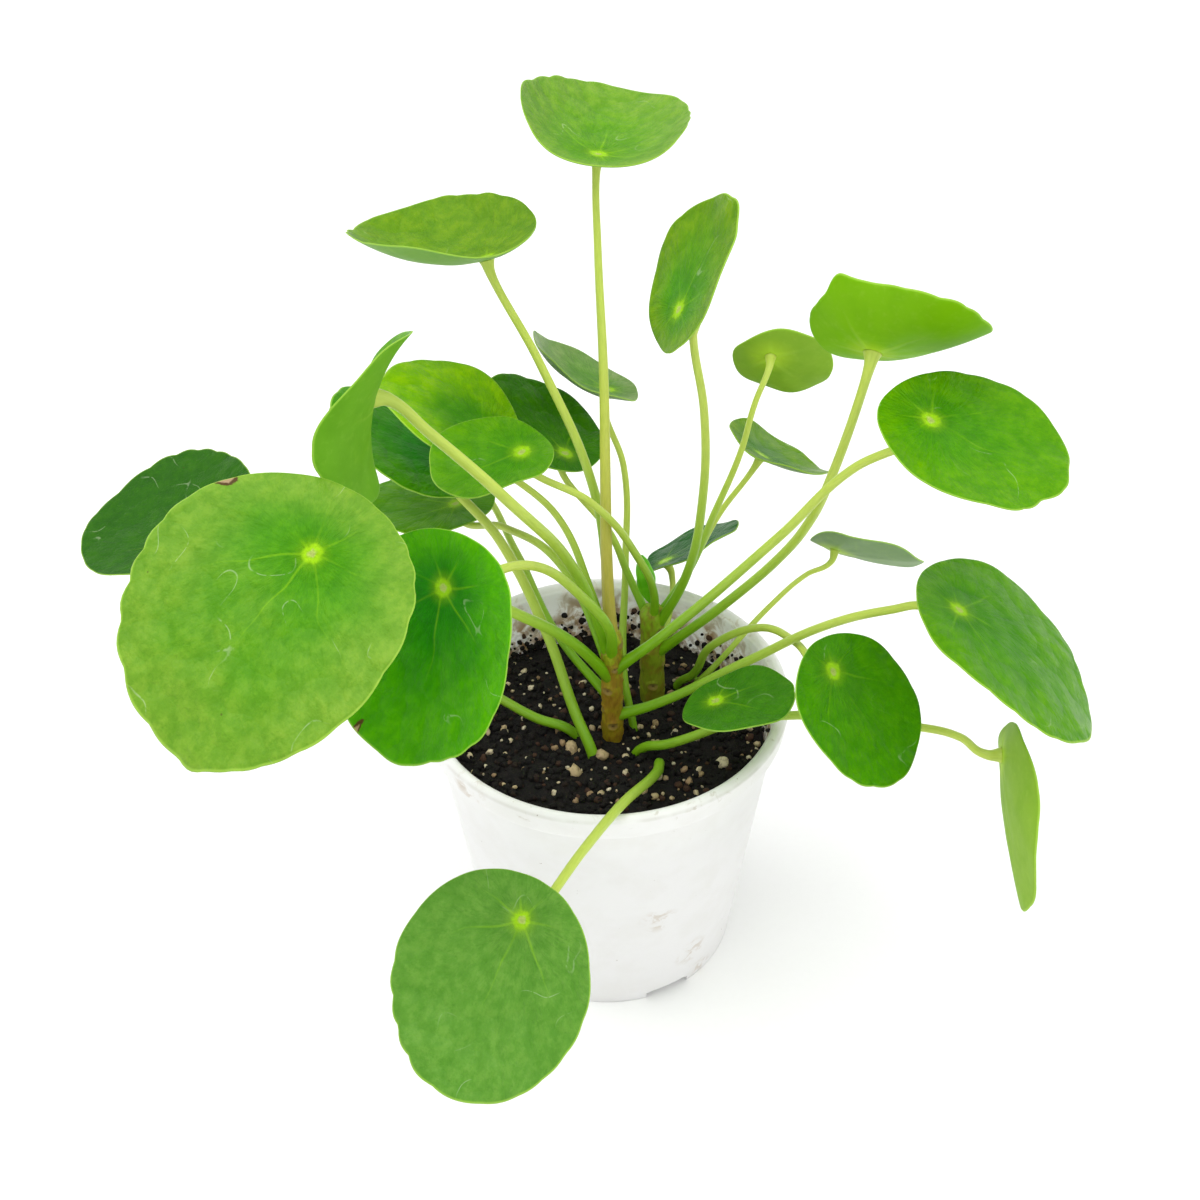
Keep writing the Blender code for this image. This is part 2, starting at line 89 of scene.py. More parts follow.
Trunk = namedtuple("Trunk", "x y radius top low_hex high_hex patch_hex")
TRUNKS = {
    "front": Trunk(2, 0, 3.2, 113, "#9A860E", "#96B00C", "#8E6414"),
    "back": Trunk(14, 17, 3.8, 108, "#7E8E10", "#86AC0C", "#84701A"),
}

# A money plant's greens, each set to how a blade looks where it stands, so they are partly the leaves'
# own greens and partly painted light and shade: the darkest hold painted shade, the bright and sunlit
# ones painted light, and the greyish ones a painted reflection of the white surround. The last ones are
# undersides.
GREENS = {
    "shady": "#0A5C00", "deep": "#285F00", "dark": "#3C7A04", "cool": "#1E7E00", "leaf": "#468C00",
    "fresh": "#569300", "vivid": "#50A400", "bright": "#7CB200", "olive": "#648E0C", "lime": "#66A11E",
    "grey_sheen": "#609434", "pale": "#6E9A2A", "hazy": "#7C9A58",
    "plain": "#7BA650", "dull": "#6C9050", "sunlit": "#78B208", "soft": "#84AC30", "misty": "#7E9A6C",
}
# hub, facing, turn, size, hub_at, curl, root, via and thick are the solids' own values. Most poses and
# sizes come from a fit of each blade to its outline in the photograph, rounded, and most via points from
# places read along the stalks in it.
# near, far and under name the blade's greens beside the hub, at the edge and on the underside.
Leaf = namedtuple("Leaf", "hub facing turn size hub_at curl root via thick near far under")
LEAVES = {
    "top": Leaf(
        (0.5, 43, 231), (37, 80), 43, (52, 50), 0.27, (30, 104), ("front", 107),
        [(1, 4, 134), (1, 12, 154), (1, 24, 179), (0, 37, 209)], (3.6, 1.7), "fresh", "pale", "plain"),
    "upper_left": Leaf(
        (-28, 28, 211), (129, 67), 12, (51, 48), 0.21, (54, 97), ("front", 99),
        [(1, 10, 126), (-2, 16, 148), (-15.5, 21, 185)], (3.0, 2.0), "olive", "olive", "plain"),
    "upper_right": Leaf(
        (19, -3, 212), (-169, 30), -170, (39, 37), 0.27, (8, 37), ("back", 97),
        [(23.5, 10.5, 125.5), (26.5, 8, 150), (26, 4, 179), (22.5, 1, 202.5)],
        (2.8, 1.9), "leaf", "olive", "plain"),
    "right_top": Leaf(
        (64, -10, 204), (69, 43), -136, (45, 44), 0.32, (28, 104), ("back", 89),
        [(35, 4.5, 119.5), (47, 0, 137), (52.5, -4.5, 150), (56.5, -11.5, 169.5)],
        (2.9, 2.2), "lime", "lime", "sunlit"),
    "right_small": Leaf(
        (46, 38, 176), (80, 20), -35, (29, 27), 0.29, (27, 44), ("back", 101),
        [(24.5, 21.5, 117), (31, 24, 134), (38, 27, 152.5), (41.5, 29, 167)],
        (2.3, 1.5), "lime", "lime", "soft"),
    "right_back": Leaf(
        (45, 38, 144), (31, 54), 15, (34, 32), 0.26, (21, 63), ("back", 97),
        [(25, 27, 113), (33, 32, 128)], (2.2, 1.5), "dark", "olive", "dull"),
    "right_mid": Leaf(
        (74, -33, 199), (-44, 72), 16, (46, 43), 0.26, (8, 21), ("front", 98),
        [(15, -5, 114), (44, -17, 156), (59, -25, 181)], (3.0, 2.0), "leaf", "fresh", "plain"),
    "back_low": Leaf(
        (19, 44, 103), (140, 57), -111, (31, 29), 0.17, (0, 19), ("back", 83),
        [(18, 28, 88)], (2.2, 1.6), "shady", "shady", "dull"),
    "right_far": Leaf(
        (67, 30, 117), (60, 43), -83, (33, 32), 0.23, (25, 35), (28, 22),
        [(27.5, 14.5, 81), (31.5, 12.5, 88), (49, 22.5, 103.5), (58.5, 26.5, 110.5)],
        (2.0, 1.4), "grey_sheen", "hazy", "misty"),
    "right_low": Leaf(
        (84, -44, 153), (-5, 65), -7, (57, 54), 0.20, (-33, 1), ("front", 81),
        [(14, -2.5, 87.5), (38, -9, 108), (58, -23, 132.5), (71, -32, 144), (77.5, -36.5, 148.5)],
        (2.9, 2.0), "leaf", "fresh", "plain"),
    "right_front": Leaf(
        (56, -41, 132), (-41, 46), -3, (40, 38), 0.21, (7, 27), (22, 21),
        [(26, 16.5, 82), (30.5, 9, 99), (43, 1, 112), (50.5, -13, 118.5)],
        (2.6, 1.9), "leaf", "leaf", "plain"),
    "soil_right": Leaf(
        (29, -27, 110), (153, 74), 170, (31, 29), 0.25, (13, 37), (30, 8),
        [(32, -3, 91)], (2.2, 1.6), "dark", "dark", "plain"),
    "right_edge": Leaf(
        (99, -51, 112), (-7, 2), -63, (47, 44), 0.17, (18, 37), (10, -7),
        [(17.5, -12, 81), (42, -17, 95), (83, -33, 105), (90.5, -41, 109)],
        (2.9, 2.0), "lime", "lime", "soft"),
    "front": Leaf(
        (-20, -98, 108), (-123, 42), -3, (53, 50), 0.19, (16, 33), (15, -13),
        [(14, -22, 80), (3, -50, 95), (-6, -70, 101)], (3.1, 2.2), "grey_sheen", "grey_sheen", "plain"),
    "left_big": Leaf(
        (-61, -70, 192), (-104, 63), -28, (67, 64), 0.25, (-32, 12), ("front", 95),
        [(-9, -8.5, 116), (-24, -21, 137), (-43, -30, 156), (-59, -40, 170)],
        (3.2, 2.3), "leaf", "pale", "plain"),
    "left_mid": Leaf(
        (-36, -55, 171), (-130, 31), 11, (55, 53), 0.24, (27, 47), ("front", 103),
        [(1, -8.5, 121), (-4.5, -12, 132.5), (-17.5, -26, 155)], (2.9, 2.1), "cool", "vivid", "plain"),
    "left_fold": Leaf(
        (-53, -20, 200), (-170, 17), 98, (44, 42), 0.20, (66, -58), ("front", 101),
        [(-6.5, -5, 135), (-24.5, -25, 176), (-40.5, -20.5, 190.5)], (3.2, 2.6), "cool", "fresh", "lime"),
    "left_bright": Leaf(
        (-30, 21, 163), (-15, 56), 178, (41, 39), 0.22, (-20, 25), ("front", 103),
        [(-3.5, 5.5, 122.5), (-12, 13, 142)], (2.4, 1.7), "leaf", "bright", "plain"),
    "left_inner": Leaf(
        (-20, 0, 171), (-137, 81), -21, (31, 30), 0.25, (0, 39), ("back", 100),
        [(14, 12.5, 116.5), (10, 9.5, 129.5), (-3, 1.5, 154.5)], (2.4, 1.8), "leaf", "fresh", "plain"),
    "left_dark": Leaf(
        (-42, 35, 147), (-3, 62), 173, (49, 46), 0.26, (0, 2), (-4, -8),
        [(-8.5, -2, 84), (-16.5, 11, 104), (-29, 26, 125)], (3.3, 2.6), "cool", "leaf", "dull"),
    "left_low": Leaf(
        (-43, 47, 123), (143, 85), 15, (40, 37), 0.28, (0, 8), ("front", 99),
        [(-12, 18, 122.5), (-28, 35, 123)], (2.7, 2.0), "fresh", "fresh", "dull"),
    "left_sliver": Leaf(
        (-69, 62, 149), (-80, 72), 30, (28, 27), 0.26, (5, 15), ("front", 87),
        [(-13, 15, 98.5), (-25.5, 42.5, 108.5), (-40, 70, 117)], (2.5, 1.8), "leaf", "dark", "dull"),
    "left_far": Leaf(
        (-118, 25, 127), (163, 67), -48, (55, 53), 0.20, (34, 26), (-10, 1),
        [(-20, 3, 78), (-29, 5, 83), (-50, 9, 97)], (3.0, 2.1), "deep", "deep", "dull"),
    "centre_dark": Leaf(
        (-10, 30, 151), (-4, 70), 135, (39, 37), 0.19, (20, 16), ("back", 100),
        [(7, 23, 115), (2.5, 25, 127)], (2.4, 1.7), "dark", "dark", "dull"),
    "centre_back": Leaf(
        (2, 50, 159), (41, 72), 147, (36, 34), 0.24, (70, 54), (8, 3),
        [(5.5, 10.5, 88.5), (6.5, 28, 114), (6.5, 41.5, 138.5)], (2.4, 1.7), "grey_sheen", "hazy", "misty"),
}
# How a blade's outline departs from an ellipse: angle about its middle in degrees, extra reach, half width
LOBES = {
    "top": [(10, 0.06, 22), (32, -0.02, 12), (110, 0.06, 32), (135, -0.05, 20), (275, -0.07, 30)],
    "upper_left": [(238, 0.07, 20), (270, 0.03, 15), (302, 0.05, 18), (5, 0.04, 15)],
    "upper_right": [(340, 0.04, 12), (325, -0.04, 12), (285, 0.06, 25), (140, -0.09, 35), (80, 0.03, 25)],
    "right_top": [(268, 0.07, 9), (254, -0.05, 10), (300, -0.08, 17), (350, 0.08, 20), (238, -0.08, 14),
                  (113, -0.08, 14)],
    "right_small": [(30, -0.05, 40)],
    "right_back": [(228, -0.13, 28)],
    "right_mid": [(335, -0.06, 15), (12, -0.035, 15), (150, -0.08, 22)],
    "right_low": [(30, -0.03, 15), (205, -0.02, 10), (235, -0.04, 18)],
    "soil_right": [(285, -0.13, 35)],
    "right_edge": [(180, -0.14, 25)],
    "left_big": [(14, 0.03, 9), (35, 0.01, 20), (300, 0.015, 30)],
    "left_mid": [(62, 0.02, 14), (22, -0.035, 16), (100, -0.04, 22), (335, -0.03, 18)],
    "left_fold": [(150, -0.18, 22), (70, 0.15, 20), (338, 0.02, 18)],
    "left_inner": [(290, 0.16, 40), (100, -0.15, 35)],
    "left_far": [(75, 0.03, 30), (318, 0.06, 25)],
}
YOUNG_LEAF, YOUNG_SIZE = (12, 17, 117.2), (5.4, 3.4, 17.0)

# Dry brown patches at the edge of some blades: angle round the blade and half width, in degrees
SCARS = {"left_big": (237, 6), "right_top": (322, 4), "left_mid": (327, 3)}

# Smudges on the pot: place and half width, in millimetres
POT_SMUDGES = [((14, -41, 40), 7), ((24, -32, 16), 7), ((27, -27, 2), 6), ((-37, -36, 89), 8),
               ((-28, 37, 79), 12), ((-10, 45, 83), 9), ((38, 28, 89), 12)]

# The camera stands where the photographer stood
CAMERA_PLACE = Vector((-1, -340, 391)) * MM
CAMERA_PITCH_DEG, CAMERA_ROLL_DEG, CAMERA_LENS = -38.2, -1.0, 48.0

# The studio, in metres: each lamp's place, and its power against the key setting
FLOOR_HALF, LIGHT_SIZE, PLANT_MIDDLE = 2.5, 1.4, Vector((0, 0, 0.12))
LIGHTS = [("key", (-0.4, 0.0, 1.2), 2.2), ("fill", (0.8, -0.6, 0.9), 1.0)]


class PotSizes(bpy.types.PropertyGroup):
    steps: IntProperty(name="Steps", description="Facets round the pot", default=144, min=24)
    rounding: FloatProperty(name="Rounding", description="Radius of the moulded corners",
                            default=0.5 * MM, subtype="DISTANCE", unit="LENGTH")
    plastic: StringProperty(name="Plastic", description="The pot's white, as sRGB hex", default="#E8E7E7")
    soiling: StringProperty(name="Soiling", description="Dried mud on the pot, as sRGB hex",
                            default="#A07E50")


class SoilSizes(bpy.types.PropertyGroup):
    crumbs: IntProperty(name="Crumbs", description="Loose crumbs of peat on the surface", default=1700)
    stuck: IntProperty(name="Stuck crumbs", description="Crumbs on the wall above the peat", default=260)
    crumb: FloatProperty(name="Crumb", description="Size of the largest crumb", default=2.6 * MM,
                         subtype="DISTANCE", unit="LENGTH")
    grit: IntProperty(name="Grit", description="Pale grains of grit and perlite", default=250)
    grain: FloatProperty(name="Grain", description="Size of a large pale grain", default=3.6 * MM,
                         subtype="DISTANCE", unit="LENGTH")
    peat: StringProperty(name="Peat", description="Moist peat, as sRGB hex", default="#0A0807")
    crumb_brown: StringProperty(name="Brown crumbs", description="Dry crumbs of peat, as sRGB hex",
                                default="#54392A")
    stone: StringProperty(name="Stone", description="Pale grit, as sRGB hex", default="#C8B288")


class LeafLook(bpy.types.PropertyGroup):
    sectors: IntProperty(name="Sectors", description="Divisions round a blade", default=144)
    rings: IntProperty(name="Rings", description="Divisions from hub to edge", default=24)
    pucker: FloatProperty(name="Pucker", description="Depth of the quilting and the fine furrows",
                          default=0.9 * MM, subtype="DISTANCE", unit="LENGTH")
    sheen: FloatProperty(name="Sheen", description="Strength of the waxy reflection", default=0.12)
    vein_strength: FloatProperty(name="Vein strength", description="How pale the veins are", default=0.22)
    vein: StringProperty(name="Vein", description="Veins and the hub's glow, as sRGB hex", default="#B0E81A")
    hub: StringProperty(name="Hub", description="The dot over the stalk, as sRGB hex", default="#E2E49A")
    rim: StringProperty(name="Rim", description="The blade's pale edge, as sRGB hex", default="#A6CC50")


class StalkLook(bpy.types.PropertyGroup):
    sides: IntProperty(name="Sides", description="Facets round a stalk", default=16)
    low: StringProperty(name="Low", description="Stalk beside the trunk, as sRGB hex", default="#76AE0A")
    high: StringProperty(name="High", description="Stalk under the blade, as sRGB hex", default="#BCCE58")
    ripe: StringProperty(name="Ripe", description="The oldest stalk's brownish part, as sRGB hex",
                         default="#B0A240")


class StudioLook(bpy.types.PropertyGroup):
    ambient: FloatProperty(name="Ambient", description="Strength of the white surround", default=0.85)
    key: FloatProperty(name="Key", description="Power of the large soft key light", default=5.0,
                       subtype="POWER", unit="POWER")
    floor: StringProperty(name="Floor", description="The floor's white, as sRGB hex", default="#FAFAFA")


def linear(hex_code):
    """An sRGB hex colour as linear red, green, blue and a full alpha."""
    parts = [int(hex_code[i:i + 2], 16) / 255 for i in (1, 3, 5)]
    return (*[c / 12.92 if c <= 0.04045 else ((c + 0.055) / 1.055) ** 2.4 for c in parts], 1.0)


def add_node(tree, kind, inputs=(), output=0, **settings):
    """Adds a shader node, sets its properties, fills its inputs in order or by name with values or with
    other nodes' outputs, and gives the output asked for."""
    made = tree.nodes.new("ShaderNode" + kind)
    for key, value in settings.items():
        setattr(made, key, value)
    for key, value in (inputs if isinstance(inputs, dict) else dict(enumerate(inputs))).items():
        if isinstance(value, bpy.types.NodeSocket):
            tree.links.new(value, made.inputs[key])
        else:
            made.inputs[key].default_value = value
    return made.outputs[output]


def new_material(name, roughness, ior, **sockets):
    """A material, its node tree and its shader. The other sockets are named with low lines for spaces."""
    made = bpy.data.materials.new(name)
    made.use_nodes = True
    shader = made.node_tree.nodes["Principled BSDF"]
    for key, value in {"Roughness": roughness, "IOR": ior, **sockets}.items():
        shader.inputs[key.replace("_", " ")].default_value = value
    return made, made.node_tree, shader


def share(tree, *parts):
    """Multiplies its parts. A part is a value, or a span: a field, where it counts as 0 and where as 1."""
    whole, *others = [add_node(tree, "MapRange", part, interpolation_type="SMOOTHSTEP")
                      if isinstance(part, tuple) else part for part in parts]
    for other in others:
        whole = add_node(tree, "Math", (whole, other), operation="MULTIPLY")
    return whole


def weigh(tree, start, *terms):
    """A start value plus each field times its weight."""
    for field, weight in terms:
        start = add_node(tree, "Math", (field, weight, start), operation="MULTIPLY_ADD")
    return start


def sway(tree, value, field, width):
    """A value that a noise pushes up and down, by half the width at most."""
    return weigh(tree, value, (field, width), (1.0, -width / 2))


def away(tree, value, middle):
    """How far a value lies from a middle one, on either side."""
    off = add_node(tree, "Math", (value, middle), operation="SUBTRACT")
    return add_node(tree, "Math", (off,), operation="ABSOLUTE")


def paint(tree, base, *coats):
    """Lays coats over a base colour. Each is a hex colour to lay on, or a factor for red, green and blue
    to multiply by, and then the parts of its share."""
    colour = linear(base)
    for over, *parts in coats:
        laid = isinstance(over, str)
        mixed = {0: share(tree, *parts), 6: colour, 7: linear(over) if laid else (*over, 1)}
        colour = add_node(tree, "Mix", mixed, output=2, data_type="RGBA",
                          blend_type="MIX" if laid else "MULTIPLY", clamp_factor=True)
    return colour


def position(tree, stretch=(1, 1, 1)):
    """The surface's own place in metres, stretched along the axes."""
    place = add_node(tree, "NewGeometry", output="Position")
    return add_node(tree, "Mapping", {"Vector": place, "Scale": stretch})


def tube_faces(rows, sides):
    """The faces of a tube made of rings of vertices, with both ends closed."""
    wall = [(r * sides + k, r * sides + (k + 1) % sides, (r + 1) * sides + (k + 1) % sides,
             (r + 1) * sides + k) for r in range(rows - 1) for k in range(sides)]
    return wall + [tuple(reversed(range(sides))), tuple((rows - 1) * sides + k for k in range(sides))]


def add_floats(mesh, name, values):
    mesh.attributes.new(name, "FLOAT", "POINT").data.foreach_set("value", values)


def finish_surface(tree, shader, colour, roughness=None, height=None, depth=0.0):
    """Joins colour, roughness and a bump of the given depth in metres to the shader."""
    tree.links.new(colour, shader.inputs["Base Color"])
    if roughness is not None:
        tree.links.new(roughness, shader.inputs["Roughness"])
    if height is not None:
        bump = add_node(tree, "Bump", {"Height": height, "Distance": depth, "Strength": 1.0})
        tree.links.new(bump, shader.inputs["Normal"])


def new_piece(name, verts, faces, nodes, materials, face_slots=None):
    """Makes a smooth mesh object in the scene that stands for some of the CAD nodes."""
    mesh = bpy.data.meshes.new(name)
    mesh.from_pydata(verts, [], faces)
    mesh.validate()
    mesh.polygons.foreach_set("use_smooth", [True] * len(mesh.polygons))
    for material in materials:
        mesh.materials.append(material)
    if face_slots is not None:
        mesh.polygons.foreach_set("material_index", face_slots)
    mesh.update()
    piece = bpy.data.objects.new(name, mesh)
    bpy.context.scene.collection.objects.link(piece)
    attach(piece, BODY)
    if nodes:
        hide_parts(*nodes)
    return piece


def face_outward(mesh):
    work = bmesh.new()
    work.from_mesh(mesh)
    bmesh.ops.recalc_face_normals(work, faces=work.faces)
    work.to_mesh(mesh)
    work.free()
    mesh.update()


# Leaves
def blade_axes(leaf):
    """The blade's three directions: to its tip, to its side, and out of its upper face."""
    around, up, turn = math.radians(leaf.facing[0]), math.radians(leaf.facing[1]), math.radians(leaf.turn)
    face = Vector((math.cos(around) * math.cos(up), math.sin(around) * math.cos(up), math.sin(up)))
    downhill = Vector((math.cos(around) * math.sin(up), math.sin(around) * math.sin(up), -math.cos(up)))
    tip = math.cos(turn) * downhill + math.sin(turn) * face.cross(downhill)
    return tip, face.cross(tip), face


def arc(distance, curve):
    """Where a point that far along a flat strip goes when the strip is bent to a circle."""
    if abs(curve) < 1e-6:
        return distance, 0.0
    return math.sin(curve * distance) / curve, (1 - math.cos(curve * distance)) / curve


def outline(name, angle):
    """How far out the edge of a blade lies at an angle, against its ellipse."""
    reach = 1.0
    for middle, extra, width in LOBES.get(name, []):
        off = (math.degrees(angle) - middle + 180) % 360 - 180
        reach += extra * math.exp(-(off / width) ** 2)
    return reach


def scallops(name, angle):
    """The blade's edge bulges softly about every 9 mm, more in some places than in others."""
    leaf = LEAVES[name]
    count = round(math.pi * leaf.size[1] / SCALLOP_SPACING)
    uneven = angle + 0.12 * math.sin(3 * angle + sum(leaf.hub))
    depth = SCALLOP * leaf.size[1] / 64 * (0.6 + 0.4 * math.sin(2 * angle + leaf.turn))
    return depth * (abs(math.sin(count * uneven / 2)) - 0.6)


def flat_place(name, reach, angle):
    """A point of the flat blade, in millimetres along and across it from the hub."""
    leaf = LEAVES[name]
    length, width = leaf.size
    out = reach * (outline(name, angle) + reach ** 8 * scallops(name, angle))
    along = length / 2 - leaf.hub_at * length + length / 2 * math.cos(angle)
    across = width / 2 * math.sin(angle) * (1 - BASE_TAPER * math.cos(angle))
    return out * along, out * across


def blade_point(name, reach, angle, axes, lift=0.0):
    """A point of the curved blade's upper side, in millimetres. Lift raises it out of the face."""
    leaf = LEAVES[name]
    length, width = leaf.size
    along, across = flat_place(name, reach, angle)
    x, rise = arc(along, math.radians(leaf.curl[0]) / length)
    y, curl = arc(across, math.radians(leaf.curl[1]) / width)
    wave = EDGE_WAVE * reach ** 3 * math.sin(EDGE_WAVES * angle + sum(leaf.hub))
    return Vector(leaf.hub) + x * axes[0] + y * axes[1] + (rise + curl + wave + lift) * axes[2]


def leaf_fields(tree, phase):
    """What both sides of a blade share: the flat blade's own place in metres, the distance from the
    hub in metres, the direction from the hub in radians, and the share of the way to the edge."""
    flat = add_node(tree, "UVMap", uv_map="flat")
    place = add_node(tree, "Mapping", {"Vector": flat, "Scale": (UV_MM * MM,) * 3,
                                       "Location": (phase * 0.013, phase * 0.007, 0)})
    x, y = add_node(tree, "SeparateXYZ", (flat,), output=slice(2))
    angle = add_node(tree, "Math", (y, x), operation="ARCTAN2")
    out = add_node(tree, "VectorMath", (flat,), output="Value", operation="LENGTH")
    reach = add_node(tree, "Attribute", output="Fac", attribute_name="reach")
    return place, share(tree, out, UV_MM * MM), angle, reach


def vein_lines(tree, place, angle, out, count, width):
    """Lines that fan out from the hub and taper away, a given count of them, each of a given half width."""
    bend = add_node(tree, "TexNoise", {"Vector": place, "Scale": 1 / (14 * MM), "Detail": 1.0})
    turned = share(tree, sway(tree, angle, bend, 0.40), count / 2)
    fan = away(tree, add_node(tree, "Math", (turned,), operation="SINE"), 0.0)
    tapered = weigh(tree, share(tree, fan, out, 2 / count), (out, 0.012))
    return share(tree, (tapered, width * 1.8, width * 0.3))


def blade_material(name, leaf, look):
    """Living leaf, waxy on top: a satin skin over green flesh that lets light through. Faint pale veins
    fan out from a yellow-green dot over the stalk, the flesh between them is softly quilted and finely
    furrowed with painted shade in the furrows and between the cushions, the edge is a thin pale line, and
    dried watering drops leave fine chalky outlines."""
    made, tree, shader = new_material(name, 0.38, 1.42, Subsurface_Weight=0.12,
                                      Specular_IOR_Level=look.sheen, **LEAF_FLESH)
    place, out, angle, reach = leaf_fields(tree, sum(leaf.hub))
    soft, mottle, broad, rings, spread = [
        add_node(tree, "TexNoise", {"Vector": place, "Scale": 1 / (cell * MM), "Detail": detail,
                                    "Roughness": rough})
        for cell, detail, rough in [(1.8, 2.0, 0.6), (4.2, 4.0, 0.7), (16, 2.0, 0.5), (15, 1.0, 0.4),
                                    (9, 0.0, 0.5)]]
    # Furrows about 1 mm apart, drawn out along the veins
    drawn = add_node(tree, "CombineXYZ", (share(tree, out, 0.4), share(tree, angle, 16 * MM)))
    furrow = add_node(tree, "TexNoise", {"Vector": drawn, "Scale": 1 / (1.4 * MM), "Detail": 3.0,
                                         "Roughness": 0.65})
    # Cushions of flesh about 7 mm wide
    push = add_node(tree, "CombineXYZ", (sway(tree, 0.0, mottle, 3 * MM), sway(tree, 0.0, broad, 5 * MM)))
    bent = add_node(tree, "VectorMath", (place, push), operation="ADD")
    quilt = add_node(tree, "TexVoronoi", {"Vector": bent, "Scale": 1 / (7 * MM)}, output="Distance")
    specks = add_node(tree, "TexVoronoi", {"Vector": place, "Scale": 1 / (6 * MM)}, output="Distance")

    ragged = sway(tree, out, soft, 1.6 * MM)
    chalk = share(tree, (away(tree, rings, 0.56), 0.006, 0.001), (soft, 0.36, 0.50), (broad, 0.52, 0.62))
    coats = [
        # From the hub's green to the edge's green, partly the leaf's own and partly painted light and shade
        (GREENS[leaf.far], (sway(tree, reach, broad, 0.7), 0.15, 0.95)),
        # Lighter and darker flesh, and painted shade in the furrows and between the quilting's cushions
        ((1.36, 1.15, 1.4), (mottle, 0.54, 0.34), 0.6),
        ((0.70, 0.83, 0.60), (mottle, 0.44, 0.62), 0.50),
        ((0.72, 0.84, 0.62), (furrow, 0.45, 0.64), 0.42),
        ((0.78, 0.88, 0.70), (soft, 0.48, 0.66), 0.30),
        ((0.72, 0.84, 0.64), (quilt, 0.40, 0.80), 0.45),
        # Veins, the hub's glow and its dot
        (look.vein, vein_lines(tree, place, angle, out, 7, 0.30 * MM), (broad, 0.34, 0.56),
         (reach, 0.75, 0.12), look.vein_strength),
        (look.vein, (out, 5.0 * MM, 1.4 * MM), 0.25),
        (look.vein, (ragged, 2.8 * MM, 1.4 * MM), 0.80),
        (look.hub, (ragged, 1.3 * MM, 0.6 * MM), 0.55),
        # Fine chalky outlines of dried drops, and a few dark specks
        ("#D6E6BE", chalk, 0.24),
        ("#4A3A1C", (specks, 0.055, 0.03), (spread, 0.58, 0.64), 0.6),
    ]
    if name.endswith(tuple(SCARS)):
        scar = add_node(tree, "Attribute", output="Fac", attribute_name="scar")
        torn = sway(tree, scar, mottle, 0.5)
        coats += [("#4E3A1A", (torn, 0.36, 0.44)), ("#A08A68", (torn, 0.52, 0.66))]
    coats.append((look.rim, (reach, 0.982, 0.996), 0.6))

    gloss = weigh(tree, 0.26, (mottle, 0.20), (chalk, 0.25))
    height = weigh(tree, 1.0, (quilt, -1.2), (furrow, -0.6))
    finish_surface(tree, shader, paint(tree, GREENS[leaf.near], *coats), gloss, height, look.pucker)
    return made


def underside_material(name, leaf, look):
    """Leaf underside, unwaxed: paler and duller than the top, with faint raised veins that spread
    from the bright, fleshy place where the stalk joins."""
    made, tree, shader = new_material(name, 0.5, 1.40, Subsurface_Weight=0.15,
                                      Specular_IOR_Level=look.sheen, **LEAF_FLESH)
    place, out, angle, reach = leaf_fields(tree, sum(leaf.hub))
    vein = share(tree, vein_lines(tree, place, angle, out, 5, 0.60 * MM), (reach, 0.8, 0.1))
    soft, mottle = [add_node(tree, "TexNoise", {"Vector": place, "Scale": 1 / (cell * MM), "Detail": 3.0,
                                                "Roughness": 0.6}) for cell in (2.2, 7)]
    # The underside's green, partly the leaf's own and partly painted light and shade
    colour = paint(tree, GREENS[leaf.under],
                   ((0.76, 0.84, 0.68), (mottle, 0.4, 0.7), 0.4),
                   (look.rim, (soft, 0.5, 0.75), 0.15),
                   (look.rim, vein, 0.30),
                   ("#B9DC38", (out, 8 * MM, 1 * MM), 0.6),
                   (look.rim, (reach, 0.984, 0.996), 0.5))
    finish_surface(tree, shader, colour, weigh(tree, 0.42, (mottle, 0.2)), weigh(tree, vein, (soft, 0.4)),
                   0.12 * MM)
    return made


def blade_mesh(name, leaf, look):
    """The blade as a closed sheet: rings from the hub out, upper and lower sides, and a rounded edge."""
    axes = blade_axes(leaf)
    sectors, rings = look.sectors, look.rings
    turns = [2 * math.pi * k / sectors for k in range(sectors)]
    reaches = [(i / rings) ** 0.85 for i in range(1, rings + 1)]
    verts, spots, reach_of = [], [], []

    def point(reach, angle, lift):
        verts.append(blade_point(name, reach, angle, axes, lift) * MM)
        spots.append(flat_place(name, reach, angle))
        reach_of.append(reach)

    def ring(reach, lift):
        for angle in turns:
            point(reach, angle, lift + quilt_lift(name, reach, angle))

    half = BLADE_THICK / 2
    point(0, 0, half * 0.4)
    for reach in reaches[:-1]:
        ring(reach, half * thin(reach))
    ring(RIM_REACH, half * RIM_LIFT)
    ring(1.0, 0.0)
    ring(RIM_REACH, -half * RIM_LIFT)
    for reach in reversed(reaches[:-1]):
        ring(reach, -half * thin(reach))
    point(0, 0, -half)

    rows = (len(verts) - 2) // sectors
    end = 1 + (rows - 1) * sectors
    faces, slots = [], []
    for k in range(sectors):
        n = (k + 1) % sectors
        faces.append((0, 1 + k, 1 + n))
        for a in range(1, end, sectors):
            faces.append((a + k, a + sectors + k, a + sectors + n, a + n))
        faces.append((end + k, len(verts) - 1, end + n))
        slots += [0] * (1 + rows // 2) + [1] * (rows - rows // 2)
    return verts, faces, slots, spots, reach_of


def thin(reach):
    """The blade thins towards its edge."""
    return 1.0 - 0.45 * reach ** 2


def quilt_lift(name, reach, angle):
    """Soft swells between the main veins, in millimetres, none at the hub or the edge."""
    swell = math.cos(9 * angle + 0.4 * math.sin(3 * angle)) * 0.05
    flat = flat_place(name, reach, angle)
    rough = noise.noise(Vector((flat[0] * 0.12, flat[1] * 0.12, sum(LEAVES[name].hub))))
    return (swell + 0.16 * rough) * 4 * reach * (1 - reach)


